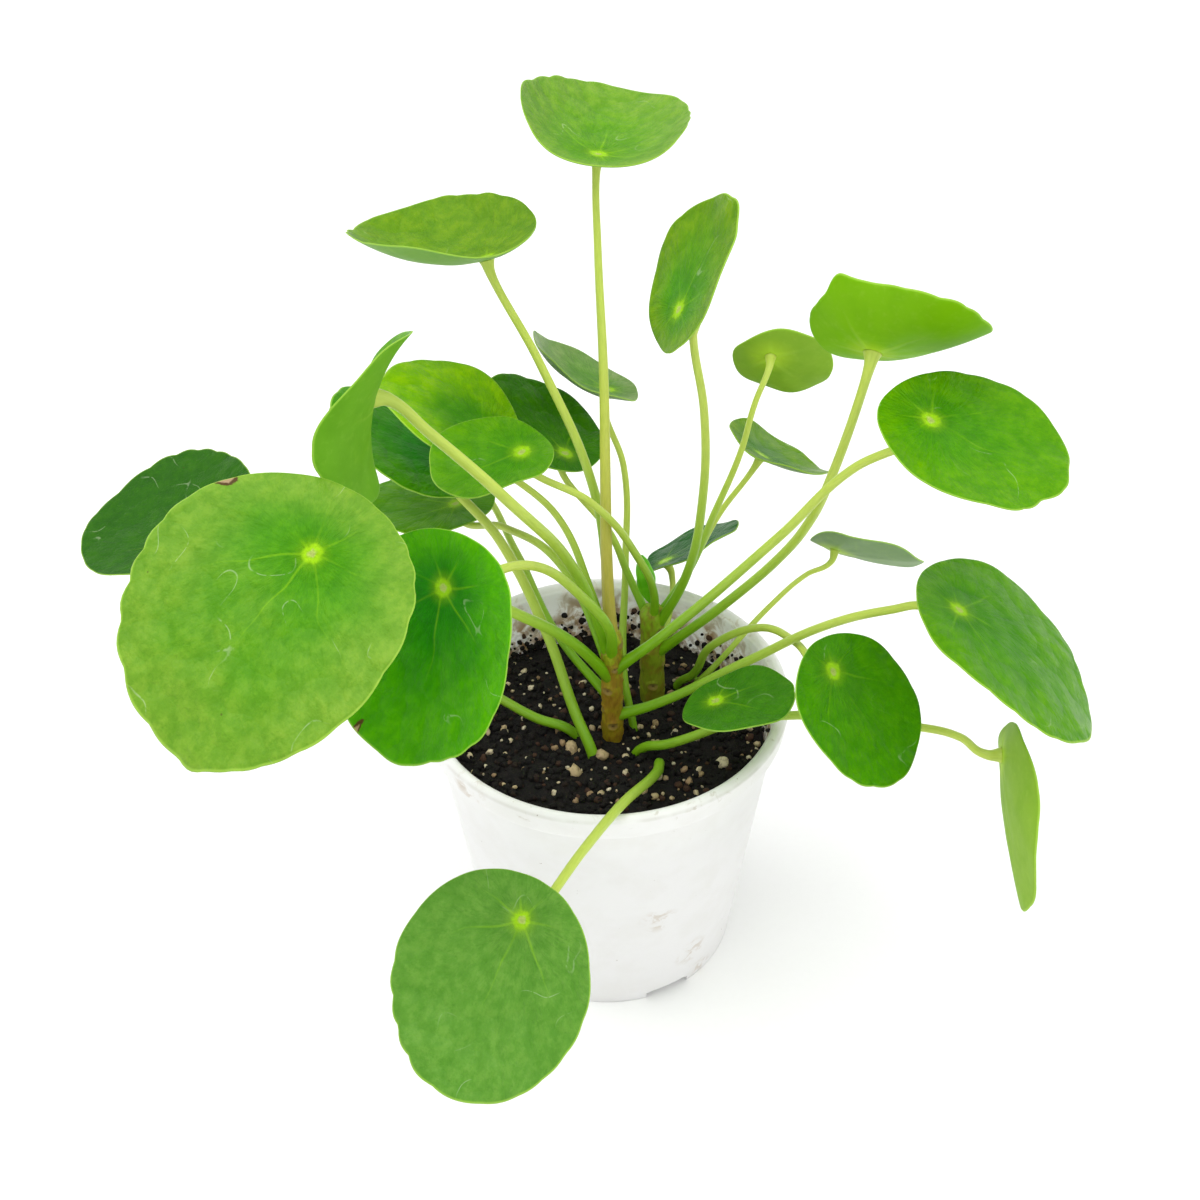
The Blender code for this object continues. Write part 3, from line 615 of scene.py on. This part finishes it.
def make_blade(name, look):
    leaf = LEAVES[name]
    verts, faces, slots, spots, reach_of = blade_mesh(name, leaf, look)
    piece = new_piece("leaf_" + name, verts, faces, ["blade_" + name],
                      [blade_material("leaf_waxy_top_" + name, leaf, look),
                       underside_material("leaf_underside_" + name, leaf, look)], slots)
    mesh = piece.data
    layer = mesh.uv_layers.new(name="flat")
    for loop in mesh.loops:
        x, y = spots[loop.vertex_index]
        layer.data[loop.index].uv = (x / UV_MM, y / UV_MM)
    add_floats(mesh, "reach", reach_of)
    if name in SCARS:
        add_floats(mesh, "scar", scar_values(name, look, reach_of))
    face_outward(mesh)


def scar_values(name, look, reach_of):
    """How dry each point is: 1 in the middle of the patch at the edge, 0 away from it."""
    middle, half = SCARS[name]
    values = []
    for index, reach in enumerate(reach_of):
        off = ((index - 1) % look.sectors * 360 / look.sectors - middle + 180) % 360 - 180
        values.append(max(0.0, 1 - abs(off) / half / 1.4) * max(0.0, (reach - 0.86) / 0.14))
    return values


# Stalks and trunks
def stalk_route(leaf):
    """The stalk's way from its root to just under its blade, in millimetres."""
    face = blade_axes(leaf)[2]
    hub = Vector(leaf.hub)
    if leaf.root[0] in TRUNKS:
        trunk = TRUNKS[leaf.root[0]]
        start = [Vector((trunk.x, trunk.y, leaf.root[1]))]
    else:
        x, y = leaf.root
        ahead = Vector(leaf.via[0])
        buried = (x - ROOT_LEAN * (ahead.x - x), y - ROOT_LEAN * (ahead.y - y), SOIL_TOP - HOLE_DEPTH)
        start = [Vector(buried), Vector((x, y, SOIL_TOP + 1.5))]
    return start + [Vector(point) for point in leaf.via] + [hub - 4.0 * face, hub - BLADE_THICK / 2 * face]


def smooth_route(points, per_span=14):
    """Points along a Bezier curve with automatic handles through the given points."""
    data = bpy.data.curves.new("route", "CURVE")
    data.dimensions = "3D"
    data.resolution_u = per_span
    spline = data.splines.new("BEZIER")
    spline.bezier_points.add(len(points) - 1)
    for knot, point in zip(spline.bezier_points, points):
        knot.co = point * MM
        knot.handle_left_type = knot.handle_right_type = "AUTO"
    holder = bpy.data.objects.new("route", data)
    bpy.context.scene.collection.objects.link(holder)
    bpy.context.view_layer.update()
    line = bpy.data.meshes.new_from_object(holder.evaluated_get(bpy.context.evaluated_depsgraph_get()))
    places = [v.co / MM for v in line.vertices]
    bpy.data.objects.remove(holder)
    bpy.data.curves.remove(data)
    bpy.data.meshes.remove(line)
    return places


def sweep(places, radius_at, sides, shape):
    """A closed tube along the places. radius_at takes the way passed and the way left, in millimetres."""
    lengths = [0.0]
    for a, b in zip(places, places[1:]):
        lengths.append(lengths[-1] + (b - a).length)
    total = lengths[-1]
    across = (places[1] - places[0]).orthogonal().normalized()
    verts, passed = [], []
    for i, place in enumerate(places):
        ahead = (places[min(i + 1, len(places) - 1)] - places[max(i - 1, 0)]).normalized()
        across = (across - ahead * across.dot(ahead)).normalized()
        other = ahead.cross(across)
        for k in range(sides):
            angle = 2 * math.pi * k / sides
            radius = radius_at(lengths[i], total - lengths[i]) * shape(lengths[i], angle)
            verts.append((place + radius * (math.cos(angle) * across + math.sin(angle) * other)) * MM)
            passed.append(lengths[i])
    return verts, tube_faces(len(places), sides), passed


def stalk_material(name, low, high):
    """Fleshy leaf stalk, smooth and moist: fine lengthwise fibres under a translucent skin, greener
    at the root, yellower under the blade, and brownish where it joins the trunk."""
    made, tree, shader = new_material("stalk_skin_" + name, 0.36, 1.40, Subsurface_Weight=0.25,
                                      Subsurface_Scale=1.2 * MM, Subsurface_Radius=(0.9, 1.0, 0.3))
    along = add_node(tree, "Attribute", output="Fac", attribute_name="along")
    flat = add_node(tree, "UVMap", uv_map="flat")
    place = add_node(tree, "Mapping", {"Vector": flat, "Scale": (UV_MM * MM, 0.0012, 1)})
    fibre = add_node(tree, "TexNoise", {"Vector": place, "Scale": 1 / (0.45 * MM), "Roughness": 0.6})
    blotch = add_node(tree, "TexNoise", {"Vector": position(tree), "Scale": 1 / (7 * MM)})
    colour = paint(tree, low,
                   (high, (along, 0.0, 0.75)),
                   ((0.72, 0.78, 0.55), (fibre, 0.42, 0.68), 0.35),
                   ((0.72, 0.78, 0.55), (blotch, 0.5, 0.75), 0.20),
                   ("#7C6A2A", (along, 0.05, 0.0), 0.4))
    finish_surface(tree, shader, colour, None, fibre, 0.08 * MM)
    return made


def make_stalk(name, look, material):
    leaf = LEAVES[name]
    thick_root, thick_tip = leaf.thick[0] / 2, leaf.thick[1] / 2
    foot = FOOT_FLARE if leaf.root[0] in TRUNKS else 0.0

    def radius(passed, left):
        plain = thick_root + (thick_tip - thick_root) * passed / (passed + left)
        return plain * (1 + foot * math.exp(-passed / FOOT_FADE) + NECK_FLARE * math.exp(-left / NECK_FADE))

    def ribs(passed, angle):
        return 1 + 0.018 * math.cos(5 * angle) + 0.010 * math.sin(11 * angle + passed / 12)

    verts, faces, passed = sweep(smooth_route(stalk_route(leaf)), radius, look.sides, ribs)
    mesh = new_piece("stem_" + name, verts, faces, ["stalk_" + name], [material]).data
    layer = mesh.uv_layers.new(name="flat")
    around = math.pi * (thick_root + thick_tip)
    for face in mesh.polygons:
        columns = [mesh.loops[i].vertex_index % look.sides for i in face.loop_indices]
        wraps = max(columns) - min(columns) > 1
        for i, column in zip(face.loop_indices, columns):
            turn = (column + look.sides if wraps and column == 0 else column) / look.sides
            layer.data[i].uv = (turn * around / UV_MM, passed[mesh.loops[i].vertex_index] / UV_MM)
    add_floats(mesh, "along", [length / passed[-1] for length in passed])
    face_outward(mesh)


def trunk_material(name, trunk):
    """Semi-woody stem, grown: olive green skin going brown, with corky oval scars where leaves fell,
    dry brown scales beside them, and fine lengthwise cracks."""
    made, tree, shader = new_material("woody_stem_" + name, 0.62, 1.45, Subsurface_Weight=0.05,
                                      Subsurface_Scale=1.0 * MM, Subsurface_Radius=(0.8, 1.0, 0.4))
    along, scar = [add_node(tree, "Attribute", output="Fac", attribute_name=key) for key in ("along", "scar")]
    crack, patch = [add_node(tree, "TexNoise", {"Vector": position(tree, (1, 1, drawn)),
                                                "Scale": 1 / (cell * MM), "Detail": 3.0, "Roughness": 0.6})
                    for cell, drawn in [(0.7, 0.25), (3.5, 0.6)]]
    colour = paint(tree, trunk.low_hex,
                   (trunk.high_hex, (along, 0.45, 1.0)),
                   (trunk.patch_hex, (patch, 0.42, 0.62), 0.7),
                   ("#4A3810", (crack, 0.52, 0.72), 0.35),
                   ("#8A7440", (scar, 0.15, 0.5), 0.7),
                   ("#3E2A12", (scar, 0.7, 0.95), 0.8))
    finish_surface(tree, shader, colour, None, crack, 0.3 * MM)
    return made


def make_trunk(name, order):
    """A knobbly stem with a domed top, ringed by a spiral of oval leaf scars."""
    trunk = TRUNKS[name]
    draw = random.Random(40 + order)
    low = SOIL_TOP - TRUNK_FOOT
    rows, sides = 140, 56
    scars = [(low + FIRST_SCAR + SCAR_STEP * i + draw.uniform(-0.6, 0.6),
              math.radians(SCAR_TURN_DEG * i + draw.uniform(-12, 12)), draw.uniform(1.1, 1.7))
             for i in range(int((trunk.top - low - FIRST_SCAR - 1) / SCAR_STEP))]
    verts, shares, marks = [], [], []
    cap = trunk.radius * 0.9
    for row in range(rows + 1):
        share = row / rows
        z = low + (trunk.top - low) * share
        dome = math.sqrt(max(0.0, 1 - max(0.0, (z - trunk.top + cap) / cap) ** 2))
        for k in range(sides):
            angle = 2 * math.pi * k / sides
            lift, mark = 0.0, 0.0
            for scar_z, scar_angle, size in scars:
                turn = (angle - scar_angle + math.pi) % (2 * math.pi) - math.pi
                off = math.hypot(turn * trunk.radius / 1.25, z - scar_z) / size
                if off < 1.6:
                    lift += 0.29 * math.exp(-(off - 0.85) ** 2 / 0.10) - 0.14 * math.exp(-off ** 2 / 0.2)
                    mark = max(mark, 1 - off / 1.15)
            rough = 0.25 * noise.noise(Vector((3 * math.cos(angle), 3 * math.sin(angle), z * 0.35 + order)))
            radius = (trunk.radius * (0.93 + 0.04 * math.sin(z * 0.5)) + lift + rough) * dome
            x, y = trunk.x + radius * math.cos(angle), trunk.y + radius * math.sin(angle)
            verts.append(Vector((x, y, z)) * MM)
            shares.append(share)
            marks.append(mark)
    mesh = new_piece("stem_trunk_" + name, verts, tube_faces(rows + 1, sides), ["trunk_" + name],
                     [trunk_material(name, trunk)]).data
    add_floats(mesh, "along", shares)
    add_floats(mesh, "scar", marks)
    face_outward(mesh)


def young_leaf_material():
    """Young leaf, newly opened: soft bright green flesh, smooth and a little translucent, with faint
    lengthwise veins and a darker fold."""
    made, tree, shader = new_material("young_leaf_folded", 0.38, 1.42, Subsurface_Weight=0.15, **LEAF_FLESH)
    vein = add_node(tree, "TexNoise", {"Vector": position(tree, (1, 1, 0.15)), "Scale": 1 / (1.4 * MM),
                                       "Detail": 1.0})
    cloud = add_node(tree, "TexNoise", {"Vector": position(tree), "Scale": 1 / (5 * MM)})
    colour = paint(tree, "#62B80A",
                   ("#78CC20", (cloud, 0.35, 0.65)),
                   ((0.66, 0.80, 0.60), (vein, 0.4, 0.7), 0.25))
    finish_surface(tree, shader, colour, None, vein, 0.12 * MM)
    return made


def make_young_leaf():
    """A leaf still folded in two along its middle, as it comes out of the bud."""
    width, depth, height = YOUNG_SIZE
    rows, sides = 41, 48
    lean = Matrix.Rotation(math.radians(-8), 4, "Y")
    verts = []
    for row in range(rows):
        share = row / (rows - 1)
        swell = math.sin(math.pi * min(0.985, max(0.015, share))) ** 0.62
        for k in range(sides):
            angle = 2 * math.pi * k / sides
            fold = 1 - 0.45 * math.exp(-((angle - 1.5 * math.pi) / 0.42) ** 2)
            wave = 1 + 0.05 * math.sin(14 * share + 3 * angle)
            point = Vector((width / 2 * swell * math.cos(angle) * wave,
                            depth / 2 * swell * math.sin(angle) * fold, height * (share - 0.5)))
            verts.append((lean @ point + Vector(YOUNG_LEAF)) * MM)
    piece = new_piece("leaf_young", verts, tube_faces(rows, sides), ["young_leaf"],
                      [young_leaf_material()])
    face_outward(piece.data)


# Soil and pot
def inner_radius(z):
    """The pot's inner radius at a height, in millimetres."""
    low, high = BASE_RADIUS - WALL, RIM_RADIUS - LIP_WIDTH
    return low + (high - low) * (z - FOOT_HEIGHT) / (POT_HEIGHT - FOOT_HEIGHT)


def soil_height(x, y):
    """The surface of the peat, in millimetres above the floor."""
    swell = SOIL_RIPPLE * noise.noise(Vector((x * 0.09, y * 0.09, 2.0)))
    clods = 0.9 * noise.fractal(Vector((x * 0.35, y * 0.35, 5.0)), 1.0, 2.0, 3)
    return SOIL_TOP + swell + clods


def peat_material(look):
    """Moist peat compost, loose: nearly black and matt between crumbs, with brown fibrous crumbs and a
    faint wet glint."""
    made, tree, shader = new_material("peat_compost", 0.86, 1.40)
    coarse, fine = [add_node(tree, "TexNoise", {"Vector": position(tree), "Scale": 1 / (cell * MM),
                                                "Detail": detail, "Roughness": rough})
                    for cell, detail, rough in [(2.4, 4.0, 0.65), (0.6, 3.0, 0.7)]]
    tone = add_node(tree, "Attribute", output="Fac", attribute_name="tone")
    colour = paint(tree, look.peat,
                   ("#1C130F", (coarse, 0.42, 0.75)),
                   ("#3E2C20", (fine, 0.6, 0.8), 0.5),
                   (look.crumb_brown, (tone, 0.80, 1.0), 0.75))
    finish_surface(tree, shader, colour, weigh(tree, 1.0, (fine, -0.4)), fine, 0.5 * MM)
    return made


def grit_material(look):
    """Perlite and quartz grit: pale cream and beige grains, rough, dusted with peat."""
    made, tree, shader = new_material("pale_grit", 0.7, 1.50)
    cloud = add_node(tree, "TexNoise", {"Vector": position(tree), "Scale": 1 / (1.2 * MM), "Detail": 3.0,
                                        "Roughness": 0.6})
    tone = add_node(tree, "Attribute", output="Fac", attribute_name="tone")
    colour = paint(tree, look.stone,
                   ("#E2D6BA", (tone, 0.25, 1.0)),
                   ("#7A5238", (tone, 0.30, 0.10), 0.6),
                   ("#6A5238", (cloud, 0.45, 0.68), 0.6))
    finish_surface(tree, shader, colour, None, cloud, 0.3 * MM)
    return made


def lumps(spots, seed):
    """Irregular pebbles: each spot is a place and three half sizes, in millimetres."""
    draw = random.Random(seed)
    work = bmesh.new()
    bmesh.ops.create_icosphere(work, subdivisions=2, radius=1.0)
    shape = [v.co.copy() for v in work.verts]
    order = [[v.index for v in f.verts] for f in work.faces]
    work.free()
    verts, faces, tones = [], [], []
    for place, half in spots:
        start = len(verts)
        turn = Matrix.Rotation(draw.uniform(0, 6.28), 3, Vector((draw.gauss(0, 1), draw.gauss(0, 1), 1)))
        shift = Vector((draw.uniform(0, 50), draw.uniform(0, 50), 0))
        tone = draw.random()
        for point in shape:
            bumpy = point * (1 + 0.45 * noise.noise(point * 1.3 + shift))
            sized = Vector((bumpy.x * half[0], bumpy.y * half[1], bumpy.z * half[2]))
            verts.append((Vector(place) + turn @ sized) * MM)
            tones.append(tone)
        faces += [[start + i for i in face] for face in order]
    return verts, faces, tones


def scatter(count, draw, reach):
    for _ in range(count):
        angle, radius = draw.uniform(0, 2 * math.pi), reach * math.sqrt(draw.random())
        x, y = radius * math.cos(angle), radius * math.sin(angle)
        if all(math.hypot(x - trunk.x, y - trunk.y) > trunk.radius + 1 for trunk in TRUNKS.values()):
            yield x, y


# The largest pale grains in view: x, y and half width, in millimetres
LARGE_GRAINS = [(-10, -5, 2.6), (-1, -9, 2.3), (-9, -15, 2.4), (33, -12, 2.2), (14, -17, 1.7), (23, -20, 1.4)]


def make_soil(look):
    rings, sectors, bottom = 60, 144, SOIL_TOP - SOIL_DEPTH
    reach, foot = inner_radius(SOIL_TOP) - SOIL_GAP, inner_radius(bottom) - SOIL_GAP
    turns = [2 * math.pi * k / sectors for k in range(sectors)]
    verts = [Vector((0, 0, soil_height(0, 0))) * MM]
    for ring in range(1, rings + 1):
        for angle in turns:
            x, y = (reach * ring / rings * part for part in (math.cos(angle), math.sin(angle)))
            verts.append(Vector((x, y, soil_height(x, y))) * MM)
    low = len(verts)
    verts += [Vector((foot * math.cos(angle), foot * math.sin(angle), bottom)) * MM for angle in turns]
    faces = [(0, 1 + k, 1 + (k + 1) % sectors) for k in range(sectors)]
    for r in range(rings):
        a, b = 1 + r * sectors, 1 + (r + 1) * sectors
        faces += [(a + k, b + k, b + (k + 1) % sectors, a + (k + 1) % sectors) for k in range(sectors)]
    faces.append(tuple(reversed(range(low, low + sectors))))
    peat = peat_material(look)
    face_outward(new_piece("soil_bed", verts, faces, ["soil"], [peat]).data)

    draw = random.Random(11)
    spots = []
    for x, y in scatter(look.crumbs, draw, reach - 1.5):
        size = look.crumb / MM / 2 * draw.uniform(0.25, 1.0) ** 1.6 + 0.25
        spots.append(((x, y, soil_height(x, y) + 0.2 * size),
                      (size, size * draw.uniform(0.6, 1), size * draw.uniform(0.5, 0.9))))
    for _ in range(look.stuck):
        angle, z = math.radians(draw.gauss(95, 45)), SOIL_TOP + 10 * draw.random() ** 2
        radius, size = inner_radius(z) - SOIL_GAP, draw.uniform(0.4, 1.1)
        x, y = radius * math.cos(angle), radius * math.sin(angle)
        spots.append(((x, y, z), (size, size * 0.8, size * 0.8)))
    verts, faces, tones = lumps(spots, 12)
    add_floats(new_piece("soil_crumbs", verts, faces, [], [peat]).data, "tone", tones)

    spots = [((x, y, soil_height(x, y) + 0.5), (half, half * 0.8, half * 0.7)) for x, y, half in LARGE_GRAINS]
    for x, y in scatter(look.grit, draw, reach - 1.5):
        size = look.grain / MM / 2 * (0.20 + 0.55 * draw.random() ** 2)
        spots.append(((x, y, soil_height(x, y) + 0.35), (size, size * draw.uniform(0.6, 1), size * 0.7)))
    verts, faces, tones = lumps(spots, 13)
    add_floats(new_piece("soil_grit", verts, faces, [], [grit_material(look)]).data, "tone", tones)


def pot_material(look):
    """Thin white polypropylene, injection moulded: satin, faintly translucent, with scuffs, a grey edge to
    the lip that is partly grime and partly painted shade, smudges and mud specks outside, dried soil high on
    the inside of the wall, and painted light that whitens the inside of the wall."""
    made, tree, shader = new_material("pot_white_plastic", 0.4, 1.49, Subsurface_Weight=0.5,
                                      Subsurface_Scale=4.0 * MM, Subsurface_Radius=(1.0, 1.0, 1.0))
    place = position(tree)
    z = add_node(tree, "SeparateXYZ", (place,), output="Z")
    radius = add_node(tree, "VectorMath", (position(tree, (1, 1, 0)),), output="Value", operation="LENGTH")
    cloud, smear, fleck = [
        add_node(tree, "TexNoise", {"Vector": place, "Scale": 1 / (cell * MM), "Detail": detail,
                                    "Roughness": rough, "Distortion": bent})
        for cell, detail, rough, bent in [(12, 3.0, 0.6, 0.0), (4, 4.0, 0.65, 0.6), (1.6, 2.0, 0.6, 0.0)]]
    # The inside of the wall, above the peat, told from the outside by its smaller cone
    cone = weigh(tree, radius, (z, -0.118), (1.0, -36.0 * MM))
    inside = share(tree, (cone, 2.5 * MM, 1.7 * MM), (z, 66 * MM, 70 * MM))
    edge = away(tree, radius, (RIM_RADIUS - LIP_WIDTH / 2) * MM)
    colour = paint(
        tree, look.plastic,
        ("#DEDCD8", (cloud, 0.4, 0.7), 0.35),
        # Inside: painted light, a pure white base that brightens the inner wall where the plant and the pot's
        # depth shade it, with dried soil in clouds, and thick just above the peat
        ("#FFFFFF", inside),
        (look.soiling, inside, (sway(tree, z, cloud, 30 * MM), 92 * MM, 78 * MM), (smear, 0.36, 0.60), 0.9),
        ("#5A4230", inside, (z, 84 * MM, 73 * MM), (fleck, 0.42, 0.62), 0.7),
        # Grey on the lip's two rounded edges, partly grime and partly painted shade where the lip turns down,
        # and the odd smudge
        ("#8E8672", (edge, 1.1 * MM, 1.9 * MM), (z, 90 * MM, 91.2 * MM), (cloud, 0.36, 0.56), 0.45),
        ("#A59A80", (z, 84 * MM, 90 * MM), (smear, 0.60, 0.72), 0.40),
        *[("#B09C80", (add_node(tree, "VectorMath", (place, tuple(side * MM for side in spot)),
                                output="Value", operation="DISTANCE"), size * MM, size * 0.3 * MM),
           (smear, 0.46, 0.62), 0.45) for spot, size in POT_SMUDGES],
        ("#6E5136", (fleck, 0.735, 0.76), (cloud, 0.50, 0.60), 0.8))
    finish_surface(tree, shader, colour, weigh(tree, 0.28, (smear, 0.25)), smear, 0.08 * MM)
    return made


def rounded(points, radius, steps=5):
    """The profile with each inner corner turned into a small arc, all in millimetres."""
    out = [points[0]]
    for before, corner, after in zip(points, points[1:], points[2:]):
        a, b = Vector(before) - Vector(corner), Vector(after) - Vector(corner)
        cut = min(radius, a.length * 0.45, b.length * 0.45)
        first, last = Vector(corner) + a.normalized() * cut, Vector(corner) + b.normalized() * cut
        for i in range(steps + 1):
            t = i / steps
            out.append(tuple((1 - t) ** 2 * first + 2 * t * (1 - t) * Vector(corner) + t ** 2 * last))
    return out + [points[-1]]


def make_pot(look):
    ledge, band_end = FOOT_HEIGHT + WALL, POT_HEIGHT - RIM_BAND
    profile = [
        (0, WALL), (FLOOR_RADIUS - WALL, WALL), (FLOOR_RADIUS - WALL, ledge), (inner_radius(ledge), ledge),
        (inner_radius(POT_HEIGHT - 2), POT_HEIGHT - 2), (RIM_RADIUS - LIP_WIDTH + 0.8, POT_HEIGHT - 0.4),
        (RIM_RADIUS - LIP_WIDTH / 2, POT_HEIGHT), (RIM_RADIUS - 0.7, POT_HEIGHT - 0.5),
        (RIM_RADIUS, POT_HEIGHT - 1.6), (RIM_RADIUS - 0.7, band_end), (RIM_RADIUS - BAND_STEP, band_end - 1),
        (BASE_RADIUS, FOOT_HEIGHT), (BASE_RADIUS - 0.4, 0), (BASE_RADIUS - WALL, 0),
        (BASE_RADIUS - WALL, FOOT_HEIGHT), (FLOOR_RADIUS, FOOT_HEIGHT), (FLOOR_RADIUS, 0), (0, 0),
    ]
    soft = rounded(profile, look.rounding / MM)
    steps, count = look.steps, len(soft) - 2
    verts = [Vector((0, 0, soft[0][1])) * MM, Vector((0, 0, soft[-1][1])) * MM]
    for k in range(steps):
        angle = 2 * math.pi * k / steps
        verts += [Vector((r * math.cos(angle), r * math.sin(angle), z)) * MM for r, z in soft[1:-1]]
    faces = []
    for k in range(steps):
        a, b = 2 + k * count, 2 + (k + 1) % steps * count
        faces.append((0, a, b))
        faces += [(a + i, a + i + 1, b + i + 1, b + i) for i in range(count - 1)]
        faces.append((1, b + count - 1, a + count - 1))
    piece = new_piece("pot_shell", verts, faces, ["pot"], [pot_material(look)])
    face_outward(piece.data)
    cut_notches(piece)


def cut_notches(piece):
    """Cuts the four water notches out of the foot ring."""
    for index in range(4):
        work = bmesh.new()
        bmesh.ops.create_cube(work, size=1.0)
        bmesh.ops.bevel(work, geom=work.edges[:], offset=0.1, segments=3, affect="EDGES")
        size = Vector((12, NOTCH_WIDTH, 2 * NOTCH_HEIGHT)) * MM
        turn = Matrix.Rotation(math.radians(FIRST_NOTCH_DEG + 90 * index), 4, "Z")
        centre = Matrix.Translation(Vector((BASE_RADIUS, 0, 0)) * MM)
        bmesh.ops.transform(work, matrix=turn @ centre @ Matrix.Diagonal((*size, 1.0)), verts=work.verts)
        mesh = bpy.data.meshes.new("notch")
        work.to_mesh(mesh)
        work.free()
        cutter = bpy.data.objects.new("notch", mesh)
        bpy.context.scene.collection.objects.link(cutter)
        step = piece.modifiers.new("notch", "BOOLEAN")
        step.object, step.operation, step.solver = cutter, "DIFFERENCE", "EXACT"
        bpy.context.view_layer.update()
        done = bpy.data.meshes.new_from_object(piece.evaluated_get(bpy.context.evaluated_depsgraph_get()))
        piece.modifiers.clear()
        piece.data = done
        bpy.data.objects.remove(cutter)
    piece.data.set_sharp_from_angle(angle=math.radians(38))


# Stage
def area_light(name, place, power):
    """A large round lamp that looks at the middle of the plant."""
    lamp = bpy.data.lights.new(name, "AREA")
    lamp.shape, lamp.size, lamp.energy = "DISK", LIGHT_SIZE, power
    holder = bpy.data.objects.new(name, lamp)
    bpy.context.scene.collection.objects.link(holder)
    holder.location = place
    holder.rotation_euler = (PLANT_MIDDLE - place).to_track_quat("-Z", "Y").to_euler()


def make_stage(look):
    mesh = bpy.data.meshes.new("floor")
    corners = [(x * FLOOR_HALF, y * FLOOR_HALF, 0) for x, y in [(-1, -1), (1, -1), (1, 1), (-1, 1)]]
    mesh.from_pydata(corners, [], [(0, 1, 2, 3)])
    floor = bpy.data.objects.new("floor", mesh)
    bpy.context.scene.collection.objects.link(floor)
    paper, tree, shader = new_material("paper_white_sweep", 0.9, 1.45, Specular_IOR_Level=0.2)
    grain = add_node(tree, "TexNoise", {"Vector": position(tree), "Scale": 1 / (2 * MM)})
    finish_surface(tree, shader, paint(tree, look.floor, ("#F7F7F7", grain)))
    mesh.materials.append(paper)
    floor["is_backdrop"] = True

    world = bpy.data.worlds.new("white_surround")
    world.use_nodes = True
    sky = world.node_tree.nodes["Background"]
    sky.inputs["Color"].default_value = (1, 1, 1, 1)
    sky.inputs["Strength"].default_value = look.ambient
    bpy.context.scene.world = world
    for name, place, strength in LIGHTS:
        area_light(name, Vector(place), look.key * strength)

    lens = bpy.data.cameras.new("camera")
    lens.sensor_width, lens.lens = 36.0, CAMERA_LENS
    lens.clip_start, lens.clip_end = 0.01, 20
    camera = bpy.data.objects.new("camera", lens)
    bpy.context.scene.collection.objects.link(camera)
    turn = Matrix.Rotation(math.radians(90 + CAMERA_PITCH_DEG), 4, "X")
    roll = Matrix.Rotation(math.radians(CAMERA_ROLL_DEG), 4, "Z")
    camera.matrix_world = Matrix.Translation(CAMERA_PLACE) @ turn @ roll
    bpy.context.scene.camera = camera
    view = bpy.context.scene.view_settings
    view.view_transform, view.look, view.exposure = "Standard", "None", 0.0


# Operators and panel
class MakePot(bpy.types.Operator):
    """Moulds the nursery pot with its rim, foot ring and water notches"""
    bl_idname = "plant.make_pot"
    bl_label = "Pot"

    def execute(self, context):
        make_pot(context.scene.plant_pot)
        return {"FINISHED"}


class MakeSoil(bpy.types.Operator):
    """Fills the pot with peat, loose crumbs and pale grit"""
    bl_idname = "plant.make_soil"
    bl_label = "Soil"

    def execute(self, context):
        make_soil(context.scene.plant_soil)
        return {"FINISHED"}


class MakeTrunks(bpy.types.Operator):
    """Grows the two woody trunks and the folded young leaf beside them"""
    bl_idname = "plant.make_trunks"
    bl_label = "Trunks"

    def execute(self, context):
        for order, name in enumerate(TRUNKS):
            make_trunk(name, order)
        make_young_leaf()
        return {"FINISHED"}


class MakeStalks(bpy.types.Operator):
    """Grows every leaf stalk from its trunk or from the soil to its blade"""
    bl_idname = "plant.make_stalks"
    bl_label = "Stalks"

    def execute(self, context):
        look = context.scene.plant_stalks
        plain = stalk_material("green", look.low, look.high)
        ripe = stalk_material("ripe", look.ripe, look.high)
        for name in LEAVES:
            make_stalk(name, look, ripe if name == "top" else plain)
        return {"FINISHED"}


class MakeBlades(bpy.types.Operator):
    """Grows the round blade of every leaf"""
    bl_idname = "plant.make_blades"
    bl_label = "Blades"

    def execute(self, context):
        for name in LEAVES:
            make_blade(name, context.scene.plant_leaves)
        return {"FINISHED"}


class MakeStage(bpy.types.Operator):
    """Sets up the floor, the soft light and the camera"""
    bl_idname = "plant.make_stage"
    bl_label = "Stage"

    def execute(self, context):
        make_stage(context.scene.plant_studio)
        return {"FINISHED"}


class PlantPanel(bpy.types.Panel):
    bl_label = "Money plant"
    bl_idname = "VIEW3D_PT_money_plant"
    bl_space_type = "VIEW_3D"
    bl_region_type = "UI"
    bl_category = "Money plant"

    def draw(self, context):
        for operator, group in STEPS:
            box = self.layout.box()
            settings = getattr(context.scene, group)
            for key in settings.bl_rna.properties.keys():
                if key not in ("rna_type", "name"):
                    box.prop(settings, key)
            box.operator(operator.bl_idname)


STEPS = [(MakePot, "plant_pot"), (MakeSoil, "plant_soil"), (MakeTrunks, "plant_stalks"),
         (MakeStalks, "plant_stalks"), (MakeBlades, "plant_leaves"), (MakeStage, "plant_studio")]
GROUPS = {"plant_pot": PotSizes, "plant_soil": SoilSizes, "plant_stalks": StalkLook,
          "plant_leaves": LeafLook, "plant_studio": StudioLook}


def register():
    for kind in (*GROUPS.values(), *[operator for operator, _ in STEPS], PlantPanel):
        bpy.utils.register_class(kind)
    for key, kind in GROUPS.items():
        setattr(bpy.types.Scene, key, bpy.props.PointerProperty(type=kind))


def unregister():
    for key in GROUPS:
        delattr(bpy.types.Scene, key)
    for kind in (PlantPanel, *[operator for operator, _ in reversed(STEPS)], *GROUPS.values()):
        bpy.utils.unregister_class(kind)


def plain(box):
    return [[float(value) for value in corner] for corner in box]


def main():
    register()
    bpy.ops.plant.make_pot()
    bpy.ops.plant.make_soil()
    bpy.ops.plant.make_trunks()
    bpy.ops.plant.make_stalks()
    bpy.ops.plant.make_blades()
    bpy.ops.plant.make_stage()
    {"cad": plain(CAD_BOX), "visual": plain(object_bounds())}


if __name__ == "__main__":
    main()
